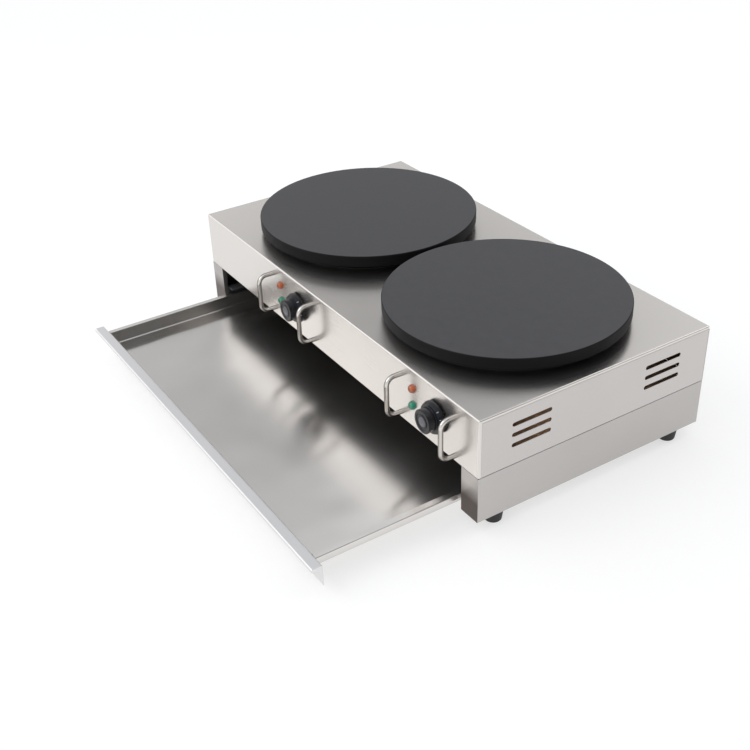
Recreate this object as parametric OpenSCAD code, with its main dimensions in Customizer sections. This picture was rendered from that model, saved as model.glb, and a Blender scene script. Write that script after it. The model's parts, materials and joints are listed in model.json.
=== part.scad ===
// Double electric griddle for crepes: two round cast plates on a sheet steel cabinet,
// with a shallow drawer that slides out below them.
// X is to the right seen from the front, Y to the back, Z up.
// The origin is on the standing surface, under the middle of the cabinet.

/* [Cabinet] */
// Width of the cabinet, side to side
body_w = 860; // [800:1:1100]
// Depth of the cabinet, front to back
body_d = 450; // [430:1:600]
// Height of the upper casing, which holds the heaters
casing_h = 100; // [96:1:140]
// Height of the lower base, which holds the drawer
base_h = 81; // [68:1:120]
// Thickness of the cabinet sheet
sheet = 1.2; // [0.8:0.1:1.6]
// Width of each front post beside the drawer, and of the base's bottom flanges
post_w = 40; // [38:1:60]
// Dark line left between the casing and the base
seam_gap = 1; // [0.5:0.5:2]
// Height of the lips that the top sheet folds down over the sides and the back
lip_h = 5; // [4:0.5:8]
// Outside radius of the folds of the top sheet
fold_r = 2.4; // [2:0.2:4]
// Width of the narrow inward flanges of the panels
flange_w = 12; // [9:1:16]

/* [Cooking plates] */
// Diameter of each cooking plate
plate_d = 400; // [340:1:416]
// Thickness of each cooking plate
plate_t = 20; // [14:0.5:26]
// Chamfer round the upper rim of the plates
plate_chamfer = 1.2; // [0.5:0.1:2.5]
// Depth of the hollow under each plate, where the heater lies
plate_recess = 8; // [4:0.5:10]
// Space between the cabinet top and the plates
plate_gap = 11.5; // [10:0.5:20]
// Space between the two plates
plate_space = 9; // [4:1:20]

/* [Heaters] */
// Outside diameter of the heater tube
tube_d = 8; // [6:0.5:10]
// Number of rings in each heating element
ring_count = 4; // [3:1:5]
// Distance from a plate's rim in to the edge of the heater well below it
well_inset = 35; // [32:1:60]
// Depth of the heater well below the cabinet top
well_depth = 38; // [34:1:60]
// Thickness of the clamp that holds the element against the plate
clamp_t = 1.8; // [1:0.2:3]
// Diameter of the studs that hold each plate
stud_d = 8; // [6:1:10]

/* [Controls] */
// Distance of each knob from its plate's centre line
knob_x = 123; // [110:1:130]
// Depth of the knob's axis below the cabinet top
knob_drop = 48; // [44:1:54]
// Diameter of the knob's skirt
skirt_d = 53; // [44:1:56]
// Diameter of the knob's grip
grip_d = 39; // [30:1:42]
// How far the knob's face stands from the front panel
knob_reach = 26; // [22:1:36]
// Diameter of the thermostat shaft
shaft_d = 6; // [5:0.5:8]
// Distance of the pilot lamps from the plate's centre line
lamp_x = 62; // [56:1:66]
// Depth of the upper pilot lamp below the cabinet top
lamp_drop = 32; // [26:1:36]
// Distance between the two pilot lamps
lamp_pitch = 30; // [24:1:34]
// Diameter of the lamp lenses
lens_d = 12.5; // [9:0.5:14]

/* [Handles] */
// Distance of the handles' middle from the plate's centre line
handle_mid_x = 100; // [94:1:104]
// Half of the distance between the two handles of one plate
handle_half_x = 70; // [64:1:74]
// Diameter of the handle rod
rod_d = 8; // [6:0.5:9]
// Distance between the two legs of a handle
handle_h = 69; // [60:1:74]
// Depth of the upper leg below the cabinet top
handle_drop = 22; // [18:1:24]
// Distance from the front panel to the middle of the grip
handle_reach = 26; // [24:1:45]
// Bend radius on the middle of the rod
handle_bend = 14; // [10:1:18]

/* [Vents] */
// Length of a vent slot
slot_l = 73; // [50:1:80]
// Height of a vent slot
slot_h = 7; // [5:0.5:9]
// Distance between vent slots
slot_pitch = 18; // [14:1:20]
// Depth of the first slot below the cabinet top
slot_drop = 30; // [24:1:34]
// Distance of each group of slots from the middle of the side
slot_group_y = 129; // [100:1:150]
// Number of slots in a group
slot_count = 3; // [2:1:4]

/* [Drawer] */
// Depth of the drawer tray, front to back
tray_l = 425; // [340:1:428]
// Inside depth of the tray, rim to floor
tray_h = 24; // [18:1:30]
// Thickness of the tray sheet
tray_t = 1; // [0.8:0.1:1.2]
// Width of the rim that the tray folds outwards
rim_w = 11; // [8:1:14]
// Height of the hem that the rim folds down
hem_h = 8; // [6:1:10]
// Height of the tray's rim above the base's lower edge
rim_rise = 26; // [25:1:34]
// Clear space between the tray's rim and each post
rim_clear = 4; // [3:0.5:8]
// How far the drawer stands out of the cabinet as shown
drawer_out = 246; // [150:1:260]
// How much further the drawer comes out before its stop
stop_travel = 36; // [20:1:60]
// Height of the drawer's front panel
panel_h = 36; // [32:1:42]
// How far the front panel overlaps each post
panel_overlap = 15; // [10:1:36]
// Depth of the pull lip on the front panel
pull_w = 18; // [14:1:24]
// Height of the pull lip's folded edge
pull_h = 5.5; // [4:0.5:9]
// Height of the free space between the tray's rim and the rails' upper legs
guard_gap = 7; // [4:0.5:12]
// Sliding clearance between the tray's hem and the rails
slide_clear = 0.5; // [0.3:0.1:1]

/* [Feet] */
// Height of the rubber feet
foot_h = 24; // [18:1:32]
// Diameter of a foot at its top
foot_top_d = 34; // [28:1:36]
// Diameter of a foot at the floor
foot_tread_d = 27; // [22:1:30]
// Distance of the feet from the middle, front to back
foot_y = 180; // [160:1:190]

/* [Back] */
// Bore of the cable gland
gland_bore_d = 11; // [9:0.5:14]
// Diameter of the earth bonding stud
bond_d = 6; // [5:1:8]

/* [Hidden] */
$fn = 96;
SIDES = [-1, 1];
UNIT_NAMES = ["left", "right"];

eps = 0.01; // overlap that makes a cut pass cleanly through a face
fit = 0.2; // clearance between neighbouring sheet parts
lip_gap = 0.6; // dark line below the lips of the top sheet
run = 0.05; // radial clearance of a shaft that turns in its bore
snug = 0.25; // radial clearance of a fixed piece in its hole

// Levels
z_base = foot_h;
z_base_top = foot_h + base_h - seam_gap;
z_seam = foot_h + base_h;
z_pan_top = z_base_top + sheet; // top of the casing's floor, on the base
z_top = z_seam + casing_h;
z_under = z_top - sheet;
z_plate = z_top + plate_gap;

// Plan positions
half_w = body_w / 2;
front_y = -body_d / 2;
rear_y = body_d / 2;
plate_x = (plate_d + plate_space) / 2;
well_r = plate_d / 2 - well_inset; // radius of the heater well
knob_z = z_top - knob_drop;
panel_in_y = front_y + sheet; // inside face of the front panel

// Heater stack, from the plate downwards
ring_in_r = well_r + 4; // inside radius of the support ring's wall
ring_wall = 1.2;
ring_foot = 12; // width of the ring's foot on the cabinet top
z_recess = z_plate + plate_recess; // top of the hollow under the plate
element_z = z_recess - 0.3 - tube_d / 2;
clamp_z = element_z - tube_d / 2 - 0.3 - clamp_t;
pan_wall = 1;
pan_r = well_r - 1; // outside radius of the pan's wall
pan_bottom = z_under - well_depth;
pan_rim_r = pan_r + 16;
insulation_r = pan_r - pan_wall - 3;
clamp_r = insulation_r - 8;
ring_start_r = 30; // free radius inside the first ring
ring_step = (clamp_r - ring_start_r) / ring_count;
stud_circle_r = ring_start_r + 2 * ring_step; // midway between the second and third rings
stud_angles = [90, 210, 330];
stud_r = stud_d / 2;
stud_hole_r = stud_r + snug;
stud_depth = (plate_t - plate_recess) * 0.6; // depth of the blind hole in the plate
nut_h = 6.5;
nut_r = stud_d * 0.9; // across the corners of the nut
terminal_r = tube_d / 2;
terminal_tail = 14; // length of a terminal below the pan

// Controls
skirt_gap = 3; // from the front panel to the skirt
skirt_t = 9;
cap_r = 8;
cap_t = 1.4;
ring_groove_in = 11;
ring_groove_out = 14.5;
shaft_r = shaft_d / 2;
bush_r = shaft_r + 3;
bush_nut_t = 2.6;
shaft_bury = 14; // length of shaft inside the thermostat
knob_bore_end = 5; // material left in front of the shaft's end
thermostat = [38, 34, 42]; // width, depth and height of its body
thermostat_y = panel_in_y + 7; // front face of its body
lamp_body_d = 9;
lamp_body_l = 24;
lens_rise = 6.5; // how far the lens stands from the panel
bezel_t = 1.6;
sensor_d = 6;
sensor_gap = 3.25; // from the bulb's end to the heater's first ring
sensor_z = element_z;
capillary_d = 2.4;
capillary_y = -14; // where the capillary rises through the pan

// Handles
rod_r = rod_d / 2;
handle_screw_r = 2.5;
handle_screw_l = 12;
handle_grip_y = front_y - handle_reach;
handle_top_z = z_top - handle_drop;
handle_low_z = handle_top_z - handle_h;

// Drawer
tray_rim_z = z_base + rim_rise;
tray_floor_z = tray_rim_z - tray_h - tray_t;
tray_rim_x = half_w - post_w - rim_clear;
tray_wall_x = tray_rim_x - rim_w;
panel_back_y = front_y - 0.5; // closed, the panel stands just clear of the posts
panel_top_z = tray_rim_z + 1.2;
panel_half_w = half_w - post_w + panel_overlap;
ear_w = 8;
ear_l = 8;
rivet_r = 1.6;
rivet_head_r = 2.9;

// Rails
ledge_z = tray_rim_z - hem_h - slide_clear;
web_x = tray_rim_x + ear_w + 4;
ledge_x = tray_wall_x + 3; // inner edge of the ledge, clear of the tray's wall
guard_z = tray_rim_z + guard_gap;
rail_front_y = front_y + sheet + 10;
rail_back_y = rear_y - sheet - 8;
rail_foot_w = 8; // the rail's foot, on the base's bottom flange
rail_rivet_x = web_x - rail_foot_w / 2;
tray_back_y = panel_back_y + tray_l - drawer_out; // as shown
ear_front_y = tray_back_y - ear_l;
stop_t = 6;

// Feet
foot_x = half_w - post_w / 2;
post_return = 8; // depth of the fold at each post's inner edge
foot_round = 3;
foot_screw_r = 3;
foot_recess_r = 7;
foot_recess_h = 8;
rail_rivet_ys = [for (k = [-1 : 1]) k * (foot_y - foot_top_d / 2 - rivet_head_r - 12)]; // clear of the feet

// Back panel
gland_x = half_w - 110;
bond_x = gland_x - 60;
back_z = z_seam + 34;
gland_nut_r = gland_bore_d / 2 + 6;
gland_thread_r = gland_bore_d / 2 + 3;

// Box between two corners
module box(low, high) {
    translate(low)
        cube([high[0] - low[0], high[1] - low[1], high[2] - low[2]]);
}

// Round bar along Y, from y0 to y1, through the origin's X and Z
module bar_y(r, y0, y1) {
    translate([0, y0, 0])
        rotate([-90, 0, 0])
            cylinder(h = y1 - y0, r = r);
}

// Round bar along X, from x0 to x1
module bar_x(r, x0, x1) {
    translate([x0, 0, 0])
        rotate([0, 90, 0])
            cylinder(h = x1 - x0, r = r);
}

// The right-hand piece as drawn, or its mirror image on the left
module on_side(side) {
    if (side > 0)
        children();
    else
        mirror([1, 0, 0])
            children();
}

// Moves a piece to the plate on that side; the two units are alike, not mirrored
module at_unit(side) {
    translate([side * plate_x, 0, 0])
        children();
}

// Quarter ring of a folded sheet, centred on the fold, in the upper left quadrant
module fold_section(outer, thick) {
    intersection() {
        difference() {
            circle(r = outer);
            circle(r = outer - thick);
        }
        translate([-outer, 0])
            square([outer, outer]);
    }
}

// One rounded vent slot along Y, cut through a side panel
module slot_y(length, height) {
    straight = length - height;
    cut = sheet * 4;
    translate([-cut / 2, -straight / 2, -height / 2])
        cube([cut, straight, height]);
    for (end = SIDES)
        translate([0, end * straight / 2, 0])
            bar_x(height / 2, -cut / 2, cut / 2);
}

// One rounded vent slot along X, cut through the back panel
module slot_x(length, height) {
    rotate([0, 0, 90])
        slot_y(length, height);
}

// ---------------------------------------------------------------- upper casing

// Section of the top sheet along X: top, folded front edge and front panel
module cover_section() {
    // here X is the cabinet's Y, and Y its Z
    translate([front_y + fold_r, z_under])
        square([body_d - fold_r, sheet]);
    translate([front_y, z_seam])
        square([sheet, casing_h - fold_r]);
    translate([front_y + fold_r, z_top - fold_r])
        fold_section(fold_r, sheet);
    translate([rear_y - sheet, z_top - lip_h])
        square([sheet, lip_h]);
}

// Holes of one unit in the top and in the front panel
module unit_cuts() {
    translate([0, 0, z_under - eps])
        cylinder(h = sheet + 2 * eps, r = well_r);
    for (angle = stud_angles)
        rotate(angle + 60)
            translate([pan_rim_r - 7, 0, z_under - eps])
                cylinder(h = sheet + 2 * eps, r = 2);
    translate([knob_x, 0, knob_z])
        bar_y(bush_r + snug, front_y - eps, panel_in_y + eps);
    for (row = [0, 1])
        translate([lamp_x, 0, z_top - lamp_drop - row * lamp_pitch])
            bar_y(lamp_body_d / 2 + snug, front_y - eps, panel_in_y + eps);
    for (side = SIDES, z = [handle_top_z, handle_low_z])
        translate([handle_mid_x + side * handle_half_x, 0, z])
            bar_y(handle_screw_r + snug, front_y - eps, panel_in_y + eps);
}

module top_cover() {
    color("gainsboro")
        difference() {
            union() {
                translate([-half_w, 0, 0])
                    rotate([90, 0, 90])
                        linear_extrude(height = body_w)
                            cover_section();
                for (side = SIDES)
                    on_side(side)
                        box([half_w - sheet, front_y + fold_r, z_top - lip_h], [half_w, rear_y, z_top]);
                // narrow returns behind the front panel's vertical edges
                for (side = SIDES)
                    on_side(side)
                        box([half_w - sheet, front_y, z_seam], [half_w, front_y + lip_h, z_top - fold_r]);
            }
            for (side = SIDES)
                at_unit(side)
                    unit_cuts();
        }
}

// Outline of a side panel with its inward flanges, all as boxes
module side_panel(side) {
    top_z = z_top - lip_h - lip_gap;
    start_y = front_y + lip_h + fit;
    end_y = rear_y - sheet - fit;
    out_x = half_w;
    in_x = half_w - sheet;
    color("silver")
        on_side(side)
            difference() {
                union() {
                    box([in_x, start_y, z_seam], [out_x, end_y, top_z]);
                    box([in_x - flange_w, start_y, z_pan_top], [in_x + eps, end_y, z_pan_top + sheet]);
                    box([in_x - flange_w, start_y, top_z - sheet], [in_x + eps, end_y, top_z]);
                    box([in_x - flange_w, end_y - sheet, z_pan_top], [in_x + eps, end_y, top_z]);
                    box([in_x - sheet - 0.1, start_y, top_z - sheet - eps],
                        [in_x - 0.1, end_y, z_under - fit]);
                }
                for (group = SIDES, row = [0 : slot_count - 1])
                    translate([half_w - sheet / 2, group * slot_group_y,
                        z_top - slot_drop - row * slot_pitch])
                        slot_y(slot_l, slot_h);
                translate([rear_screw_xs[1], 0, rear_screw_z])
                    bar_y(casing_screw_r + run, end_y - sheet - eps, end_y + eps);
            }
}

module rear_panel() {
    top_z = z_top - lip_h - lip_gap;
    color("silver")
        difference() {
            box([-half_w, rear_y - sheet, z_seam], [half_w, rear_y, top_z]);
            for (group = SIDES, row = [0 : slot_count - 1])
                translate([group * plate_x, rear_y - sheet / 2,
                    z_top - slot_drop - row * slot_pitch])
                    slot_x(slot_l, slot_h);
            translate([gland_x, 0, back_z])
                bar_y(gland_thread_r + snug, rear_y - sheet - eps, rear_y + eps);
            translate([bond_x, 0, back_z])
                bar_y(bond_d / 2 + snug, rear_y - sheet - eps, rear_y + eps);
            for (x = rear_screw_xs)
                translate([x, 0, rear_screw_z])
                    bar_y(casing_screw_r + snug, rear_y - sheet - eps, rear_y + eps);
        }
}

// Floor of the casing, which rests on the base and leaves the dark line between them
module bottom_pan() {
    inset = 2;
    color("darkgray")
        difference() {
            box([-half_w + inset, front_y + inset, z_base_top],
                [half_w - inset, rear_y - inset, z_base_top + sheet]);
            for (side = SIDES, row = [-3 : 3])
                translate([side * plate_x, row * slot_pitch, z_base_top + sheet / 2])
                    rotate([0, 90, 90])
                        slot_y(slot_l, slot_h);
        }
}

module centre_divider() {
    divider_top = z_under - fit;
    divider_foot = z_pan_top;
    divider_half = body_d / 2 - 30;
    color("darkgray")
        union() {
            box([-sheet / 2, -divider_half, divider_foot], [sheet / 2, divider_half, divider_top]);
            box([-sheet / 2, -divider_half, divider_foot], [flange_w, divider_half, divider_foot + sheet]);
            box([-sheet / 2, -divider_half, divider_top - sheet], [flange_w, divider_half, divider_top]);
        }
}

// ---------------------------------------------------------------- lower base

// Open frame under the casing: two sides, a back, two front posts and narrow flanges
module base_shell() {
    color("silver")
        difference() {
            union() {
                for (side = SIDES)
                    on_side(side) {
                        box([half_w - sheet, front_y, z_base], [half_w, rear_y, z_base_top]);
                        box([half_w - post_w, front_y, z_base], [half_w, front_y + sheet, z_base_top]);
                        box([half_w - post_w, front_y, z_base],
                            [half_w - post_w + sheet, front_y + post_return, z_base_top]);
                        box([half_w - post_w, front_y, z_base], [half_w, rear_y, z_base + sheet]);
                        box([half_w - flange_w, front_y, z_base_top - sheet], [half_w, rear_y, z_base_top]);
                    }
                box([-half_w, rear_y - sheet, z_base], [half_w, rear_y, z_base_top]);
                box([-half_w, rear_y - flange_w, z_base], [half_w, rear_y, z_base + sheet]);
                box([-half_w, rear_y - flange_w, z_base_top - sheet], [half_w, rear_y, z_base_top]);
            }
            for (sx = SIDES, sy = SIDES)
                translate([sx * foot_x, sy * foot_y, z_base - eps])
                    cylinder(h = sheet + 2 * eps, r = foot_screw_r + snug);
            for (side = SIDES, y = rail_rivet_ys)
                translate([side * (rail_rivet_x), y, z_base - eps])
                    cylinder(h = sheet + 2 * eps, r = rivet_r);
        }
}

// Sheet channel that carries the tray's hem, with a bent tab that stops the tray's ear
module rail(side) {
    foot_z = z_base + sheet;
    stop_y = ear_front_y - stop_travel;
    color("lightsteelblue")
        on_side(side)
            difference() {
                union() {
                    box([web_x, rail_front_y, foot_z], [web_x + sheet, rail_back_y, guard_z + sheet]);
                    box([web_x - rail_foot_w, rail_front_y, foot_z], [web_x + eps, rail_back_y, foot_z + sheet]);
                    box([ledge_x, rail_front_y, ledge_z - sheet], [web_x + eps, rail_back_y, ledge_z]);
                    box([ledge_x, rail_front_y, guard_z], [web_x + eps, rail_back_y, guard_z + sheet]);
                    box([tray_rim_x + 3, stop_y - stop_t, ledge_z - eps], [web_x + eps, stop_y, guard_z + eps]);
                }
                for (y = rail_rivet_ys)
                    translate([rail_rivet_x, y, foot_z - eps])
                        cylinder(h = sheet + 2 * eps, r = rivet_r);
            }
}

module rail_rivets() {
    color("gray")
        for (side = SIDES, y = rail_rivet_ys)
            translate([side * (rail_rivet_x), y, z_base + sheet]) {
                translate([0, 0, -sheet - 1])
                    cylinder(h = 1, r = rivet_head_r);
                translate([0, 0, -sheet - 0.5])
                    cylinder(h = 2 * sheet + 1, r = rivet_r - run);
                translate([0, 0, sheet])
                    cylinder(h = 1.2, r = rivet_head_r);
            }
}

module foot(sx, sy) {
    tread_r = foot_tread_d / 2;
    top_r = foot_top_d / 2;
    slope = (top_r - tread_r) / foot_h;
    color([0.08, 0.08, 0.08])
        translate([sx * foot_x, sy * foot_y, 0])
            rotate_extrude()
                difference() {
                    union() {
                        translate([0, foot_round])
                            polygon([[0, 0], [tread_r + slope * foot_round, 0],
                                [top_r, foot_h - foot_round], [0, foot_h - foot_round]]);
                        square([tread_r - foot_round, foot_h]);
                        translate([tread_r - foot_round, foot_round])
                            circle(r = foot_round);
                    }
                    translate([-eps, -eps])
                        square([foot_recess_r + eps, foot_recess_h]);
                    translate([-eps, 0])
                        square([foot_screw_r + snug + eps, foot_h]);
                    translate([-foot_h, -foot_h])
                        square([foot_h, 3 * foot_h]);
                }
}

module foot_screws() {
    head_h = 4;
    color("gray")
        for (sx = SIDES, sy = SIDES)
            translate([sx * foot_x, sy * foot_y, 0]) {
                translate([0, 0, foot_recess_h - head_h])
                    cylinder(h = head_h, r = foot_recess_r - 1.5);
                translate([0, 0, foot_recess_h - 1])
                    cylinder(h = foot_h + sheet + 7 - foot_recess_h, r = foot_screw_r);
                translate([0, 0, foot_h + sheet])
                    cylinder(h = 4.5, r = 5.5, $fn = 6);
            }
}

// ---------------------------------------------------------------- drawer

// The tray, drawn closed and moved out
module drawer_tray() {
    front = panel_back_y;
    back = front + tray_l;
    rim_low = tray_rim_z - tray_t;
    color("whitesmoke")
        translate([0, -drawer_out, 0])
            difference() {
                union() {
                    // floor and four walls
                    difference() {
                        box([-tray_wall_x, front, tray_floor_z], [tray_wall_x, back - rim_w, tray_rim_z]);
                        box([-tray_wall_x + tray_t, front + tray_t, tray_floor_z + tray_t],
                            [tray_wall_x - tray_t, back - rim_w - tray_t, tray_rim_z + eps]);
                    }
                    // rim and hem at the sides
                    for (side = SIDES)
                        on_side(side) {
                            box([tray_wall_x - tray_t, front, rim_low], [tray_rim_x, back, tray_rim_z]);
                            box([tray_rim_x - tray_t, front, tray_rim_z - hem_h],
                                [tray_rim_x, back, tray_rim_z]);
                            // the ear that meets the rail's stop
                            box([tray_rim_x - tray_t, back - ear_l, tray_rim_z - hem_h + 1],
                                [tray_rim_x + ear_w, back, tray_rim_z]);
                        }
                    // rim and hem at the back
                    box([-tray_rim_x, back - rim_w - tray_t, rim_low], [tray_rim_x, back, tray_rim_z]);
                    box([-tray_rim_x, back - tray_t, tray_rim_z - hem_h], [tray_rim_x, back, tray_rim_z]);
                }
                for (x = front_rivet_xs)
                    translate([x, 0, front_rivet_z])
                        bar_y(rivet_r, front - eps, front + tray_t + eps);
            }
}

// Front panel: a vertical sheet with a pull lip folded forwards along its top
module drawer_front() {
    face_y = panel_back_y - sheet;
    lip_y = face_y - pull_w + sheet;
    low_z = panel_top_z - panel_h;
    fold = 2;
    color("white")
        translate([-panel_half_w, -drawer_out, 0])
            difference() {
                rotate([90, 0, 90])
                    linear_extrude(height = 2 * panel_half_w) {
                        translate([face_y, low_z])
                            square([sheet, panel_h]);
                        translate([lip_y + fold, panel_top_z - sheet])
                            square([panel_back_y - lip_y - fold, sheet]);
                        translate([lip_y + fold, panel_top_z - fold])
                            fold_section(fold, sheet);
                        translate([lip_y, panel_top_z - pull_h])
                            square([sheet, pull_h - fold]);
                    }
                for (x = front_rivet_xs)
                    translate([x + panel_half_w, 0, front_rivet_z])
                        bar_y(rivet_r, face_y - eps, panel_back_y + eps);
            }
}

module drawer_rivets() {
    face_y = panel_back_y - sheet;
    color("lightgray")
        for (x = front_rivet_xs)
            translate([x, -drawer_out, front_rivet_z]) {
                bar_y(rivet_head_r, face_y - 0.8, face_y);
                bar_y(rivet_r - run, face_y - 0.4, panel_back_y + tray_t + 0.4);
                bar_y(rivet_head_r, panel_back_y + tray_t, panel_back_y + tray_t + 1);
            }
}

front_rivet_xs = [for (i = [-3 : 3]) i * (tray_wall_x - 20) / 3];
front_rivet_z = tray_floor_z + tray_h * 0.45;

// ---------------------------------------------------------------- cooking units

module plate(side) {
    radius = plate_d / 2;
    color([0.2, 0.2, 0.21])
        at_unit(side)
            difference() {
                union() {
                    translate([0, 0, z_plate])
                        cylinder(h = plate_t - plate_chamfer, r = radius);
                    translate([0, 0, z_plate + plate_t - plate_chamfer - eps])
                        cylinder(h = plate_chamfer + eps, r1 = radius, r2 = radius - plate_chamfer);
                }
                translate([0, 0, z_plate - eps])
                    cylinder(h = plate_recess + eps, r = insulation_r + 1);
                for (angle = stud_angles)
                    rotate(angle)
                        translate([stud_circle_r, 0, z_recess - eps])
                            cylinder(h = stud_depth, r = stud_r + run);
            }
}

// Black ring that carries the plate above the cabinet top
module support_ring(side) {
    color([0.1, 0.1, 0.1])
        at_unit(side)
            difference() {
                union() {
                    translate([0, 0, z_top])
                        cylinder(h = ring_wall, r = ring_in_r + ring_wall + ring_foot);
                    translate([0, 0, z_top])
                        cylinder(h = plate_gap, r = ring_in_r + ring_wall);
                }
                translate([0, 0, z_top - eps])
                    cylinder(h = plate_gap + 2 * eps, r = ring_in_r);
            }
}

// Heater tube: concentric rings joined by short bridges, with two terminals
module element(side) {
    color([0.25, 0.24, 0.23])
        at_unit(side)
            translate([0, 0, element_z]) {
                for (ring = [1 : ring_count])
                    rotate(element_gap / 2)
                        rotate_extrude(angle = 360 - element_gap)
                            translate([ring_radius(ring), 0])
                                circle(r = tube_d / 2);
                // bridges between neighbouring rings, on alternate sides of the gap
                for (ring = [1 : ring_count - 1])
                    rotate((ring % 2 == 0 ? 1 : -1) * element_gap / 2)
                        bar_x(tube_d / 2, ring_radius(ring),
                            ring_radius(ring + 1));
                for (ring = [1 : ring_count], end = SIDES)
                    rotate(end * element_gap / 2)
                        translate([ring_radius(ring), 0, 0])
                            sphere(r = knuckle_r);
                // terminals at the first and the last ring
                for (end = element_ends)
                    rotate(end[1])
                        translate([end[0], 0, -(element_z - pan_bottom + terminal_tail)])
                            cylinder(h = element_z - pan_bottom + terminal_tail, r = tube_d / 2);
            }
}

element_gap = 24; // angle left open between the ends of the rings
knuckle_r = tube_d / 2 + 0.2;

// Radius of a ring's middle line, counted from the inside
function ring_radius(index) = ring_start_r + (index - 0.5) * ring_step;

// Radius and angle of the two ends of the heater tube
element_ends = [
    [ring_radius(1), element_gap / 2],
    [ring_radius(ring_count), (ring_count % 2 == 0 ? 1 : -1) * element_gap / 2]
];

// Cuts for the studs, the heater's terminals and the capillary
module stack_cuts(z0, z1) {
    translate([0, capillary_y, z0 - eps])
        cylinder(h = z1 - z0 + 2 * eps, r = capillary_d / 2 + 2 * snug);
    for (angle = stud_angles)
        rotate(angle)
            translate([stud_circle_r, 0, z0 - eps])
                cylinder(h = z1 - z0 + 2 * eps, r = stud_hole_r);
    for (end = element_ends)
        rotate(end[1])
            translate([end[0], 0, z0 - eps])
                cylinder(h = z1 - z0 + 2 * eps, r = terminal_r + snug);
}

module element_clamp(side) {
    color("dimgray")
        at_unit(side)
            difference() {
                translate([0, 0, clamp_z])
                    cylinder(h = clamp_t, r = clamp_r);
                stack_cuts(clamp_z, clamp_z + clamp_t);
                translate([0, 0, clamp_z - eps])
                    cylinder(h = clamp_t + 2 * eps, r = 20);
            }
}

module insulation(side) {
    low = pan_bottom + pan_wall + fit;
    high = clamp_z - fit;
    color("wheat")
        at_unit(side)
            difference() {
                translate([0, 0, low])
                    cylinder(h = high - low, r = insulation_r);
                stack_cuts(low, high);
            }
}

module heat_pan(side) {
    high = z_under;
    color("slategray")
        at_unit(side)
            difference() {
                union() {
                    translate([0, 0, high - pan_wall])
                        cylinder(h = pan_wall, r = pan_rim_r);
                    translate([0, 0, pan_bottom])
                        cylinder(h = high - pan_bottom, r = pan_r);
                }
                translate([0, 0, pan_bottom + pan_wall])
                    cylinder(h = high - pan_bottom, r = pan_r - pan_wall);
                stack_cuts(pan_bottom, pan_bottom + pan_wall);
                for (angle = stud_angles)
                    rotate(angle + 60)
                        translate([pan_rim_r - 7, 0, high - pan_wall - eps])
                            cylinder(h = pan_wall + 2 * eps, r = 2);
            }
}

// Three studs that pull the plate down, each with its washer and nut
module plate_studs(side) {
    low = pan_bottom - nut_h - 3;
    color("gray")
        at_unit(side)
            for (angle = stud_angles)
                rotate(angle)
                    translate([stud_circle_r, 0, 0]) {
                        translate([0, 0, low])
                            cylinder(h = z_recess + stud_depth - 1 - low, r = stud_r);
                        translate([0, 0, pan_bottom - 1.6])
                            cylinder(h = 1.6, r = nut_r + 2);
                        translate([0, 0, pan_bottom - 1.6 - nut_h])
                            cylinder(h = nut_h, r = nut_r, $fn = 6);
                    }
}

// ---------------------------------------------------------------- controls

module at_knob(side) {
    at_unit(side)
        translate([knob_x, 0, knob_z])
            children();
}

// Capillary thermostat: its case, its threaded bush and the nut that holds it
module thermostat_body(side) {
    color([0.85, 0.83, 0.75])
        at_knob(side)
            difference() {
                union() {
                    box([-thermostat[0] / 2, thermostat_y, -thermostat[2] / 2],
                        [thermostat[0] / 2, thermostat_y + thermostat[1], thermostat[2] / 2]);
                    bar_y(bush_r, front_y - 1.5, thermostat_y + eps);
                    bar_y(bush_r + 4, panel_in_y, thermostat_y + eps);
                }
                bar_y(shaft_r + run, front_y - 2, thermostat_y + shaft_bury + 1);
            }
}

module shaft(side) {
    color("silver")
        at_knob(side)
            bar_y(shaft_r, front_y - knob_reach + knob_bore_end, thermostat_y + shaft_bury);
}

// Moulded knob: sloping skirt, plain grip, and a ring groove in its face
module knob(side) {
    face_y = front_y - knob_reach;
    skirt_back = front_y - skirt_gap;
    skirt_front = skirt_back - skirt_t;
    skirt_r = skirt_d / 2;
    grip_r = grip_d / 2;
    edge = 1.2;
    skirt_slope = 5;
    color([0.07, 0.07, 0.08])
        at_knob(side)
            difference() {
                union() {
                    bar_y(skirt_r, skirt_front + skirt_slope, skirt_back);
                    translate([0, skirt_front + skirt_slope, 0])
                        rotate([90, 0, 0])
                            cylinder(h = skirt_slope, r1 = skirt_r, r2 = skirt_r - skirt_slope / 2);
                    bar_y(grip_r, face_y + edge, skirt_front + 1);
                    translate([0, face_y + edge, 0])
                        rotate([90, 0, 0])
                            cylinder(h = edge, r1 = grip_r, r2 = grip_r - edge);
                }
                // hollow back of the skirt
                bar_y(skirt_r - 3, skirt_back - 5, skirt_back + eps);
                // bore for the shaft
                bar_y(shaft_r + run, face_y + knob_bore_end, skirt_back + eps);
                // groove round the cap
                difference() {
                    bar_y(ring_groove_out, face_y - eps, face_y + 1.2);
                    bar_y(ring_groove_in, face_y - 1, face_y + 2);
                }
                // seat of the cap
                bar_y(cap_r + snug, face_y - eps, face_y + 1);
            }
}

module knob_cap(side) {
    face_y = front_y - knob_reach;
    color("silver")
        at_knob(side)
            bar_y(cap_r, face_y + 1 - cap_t, face_y + 1);
}

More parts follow.
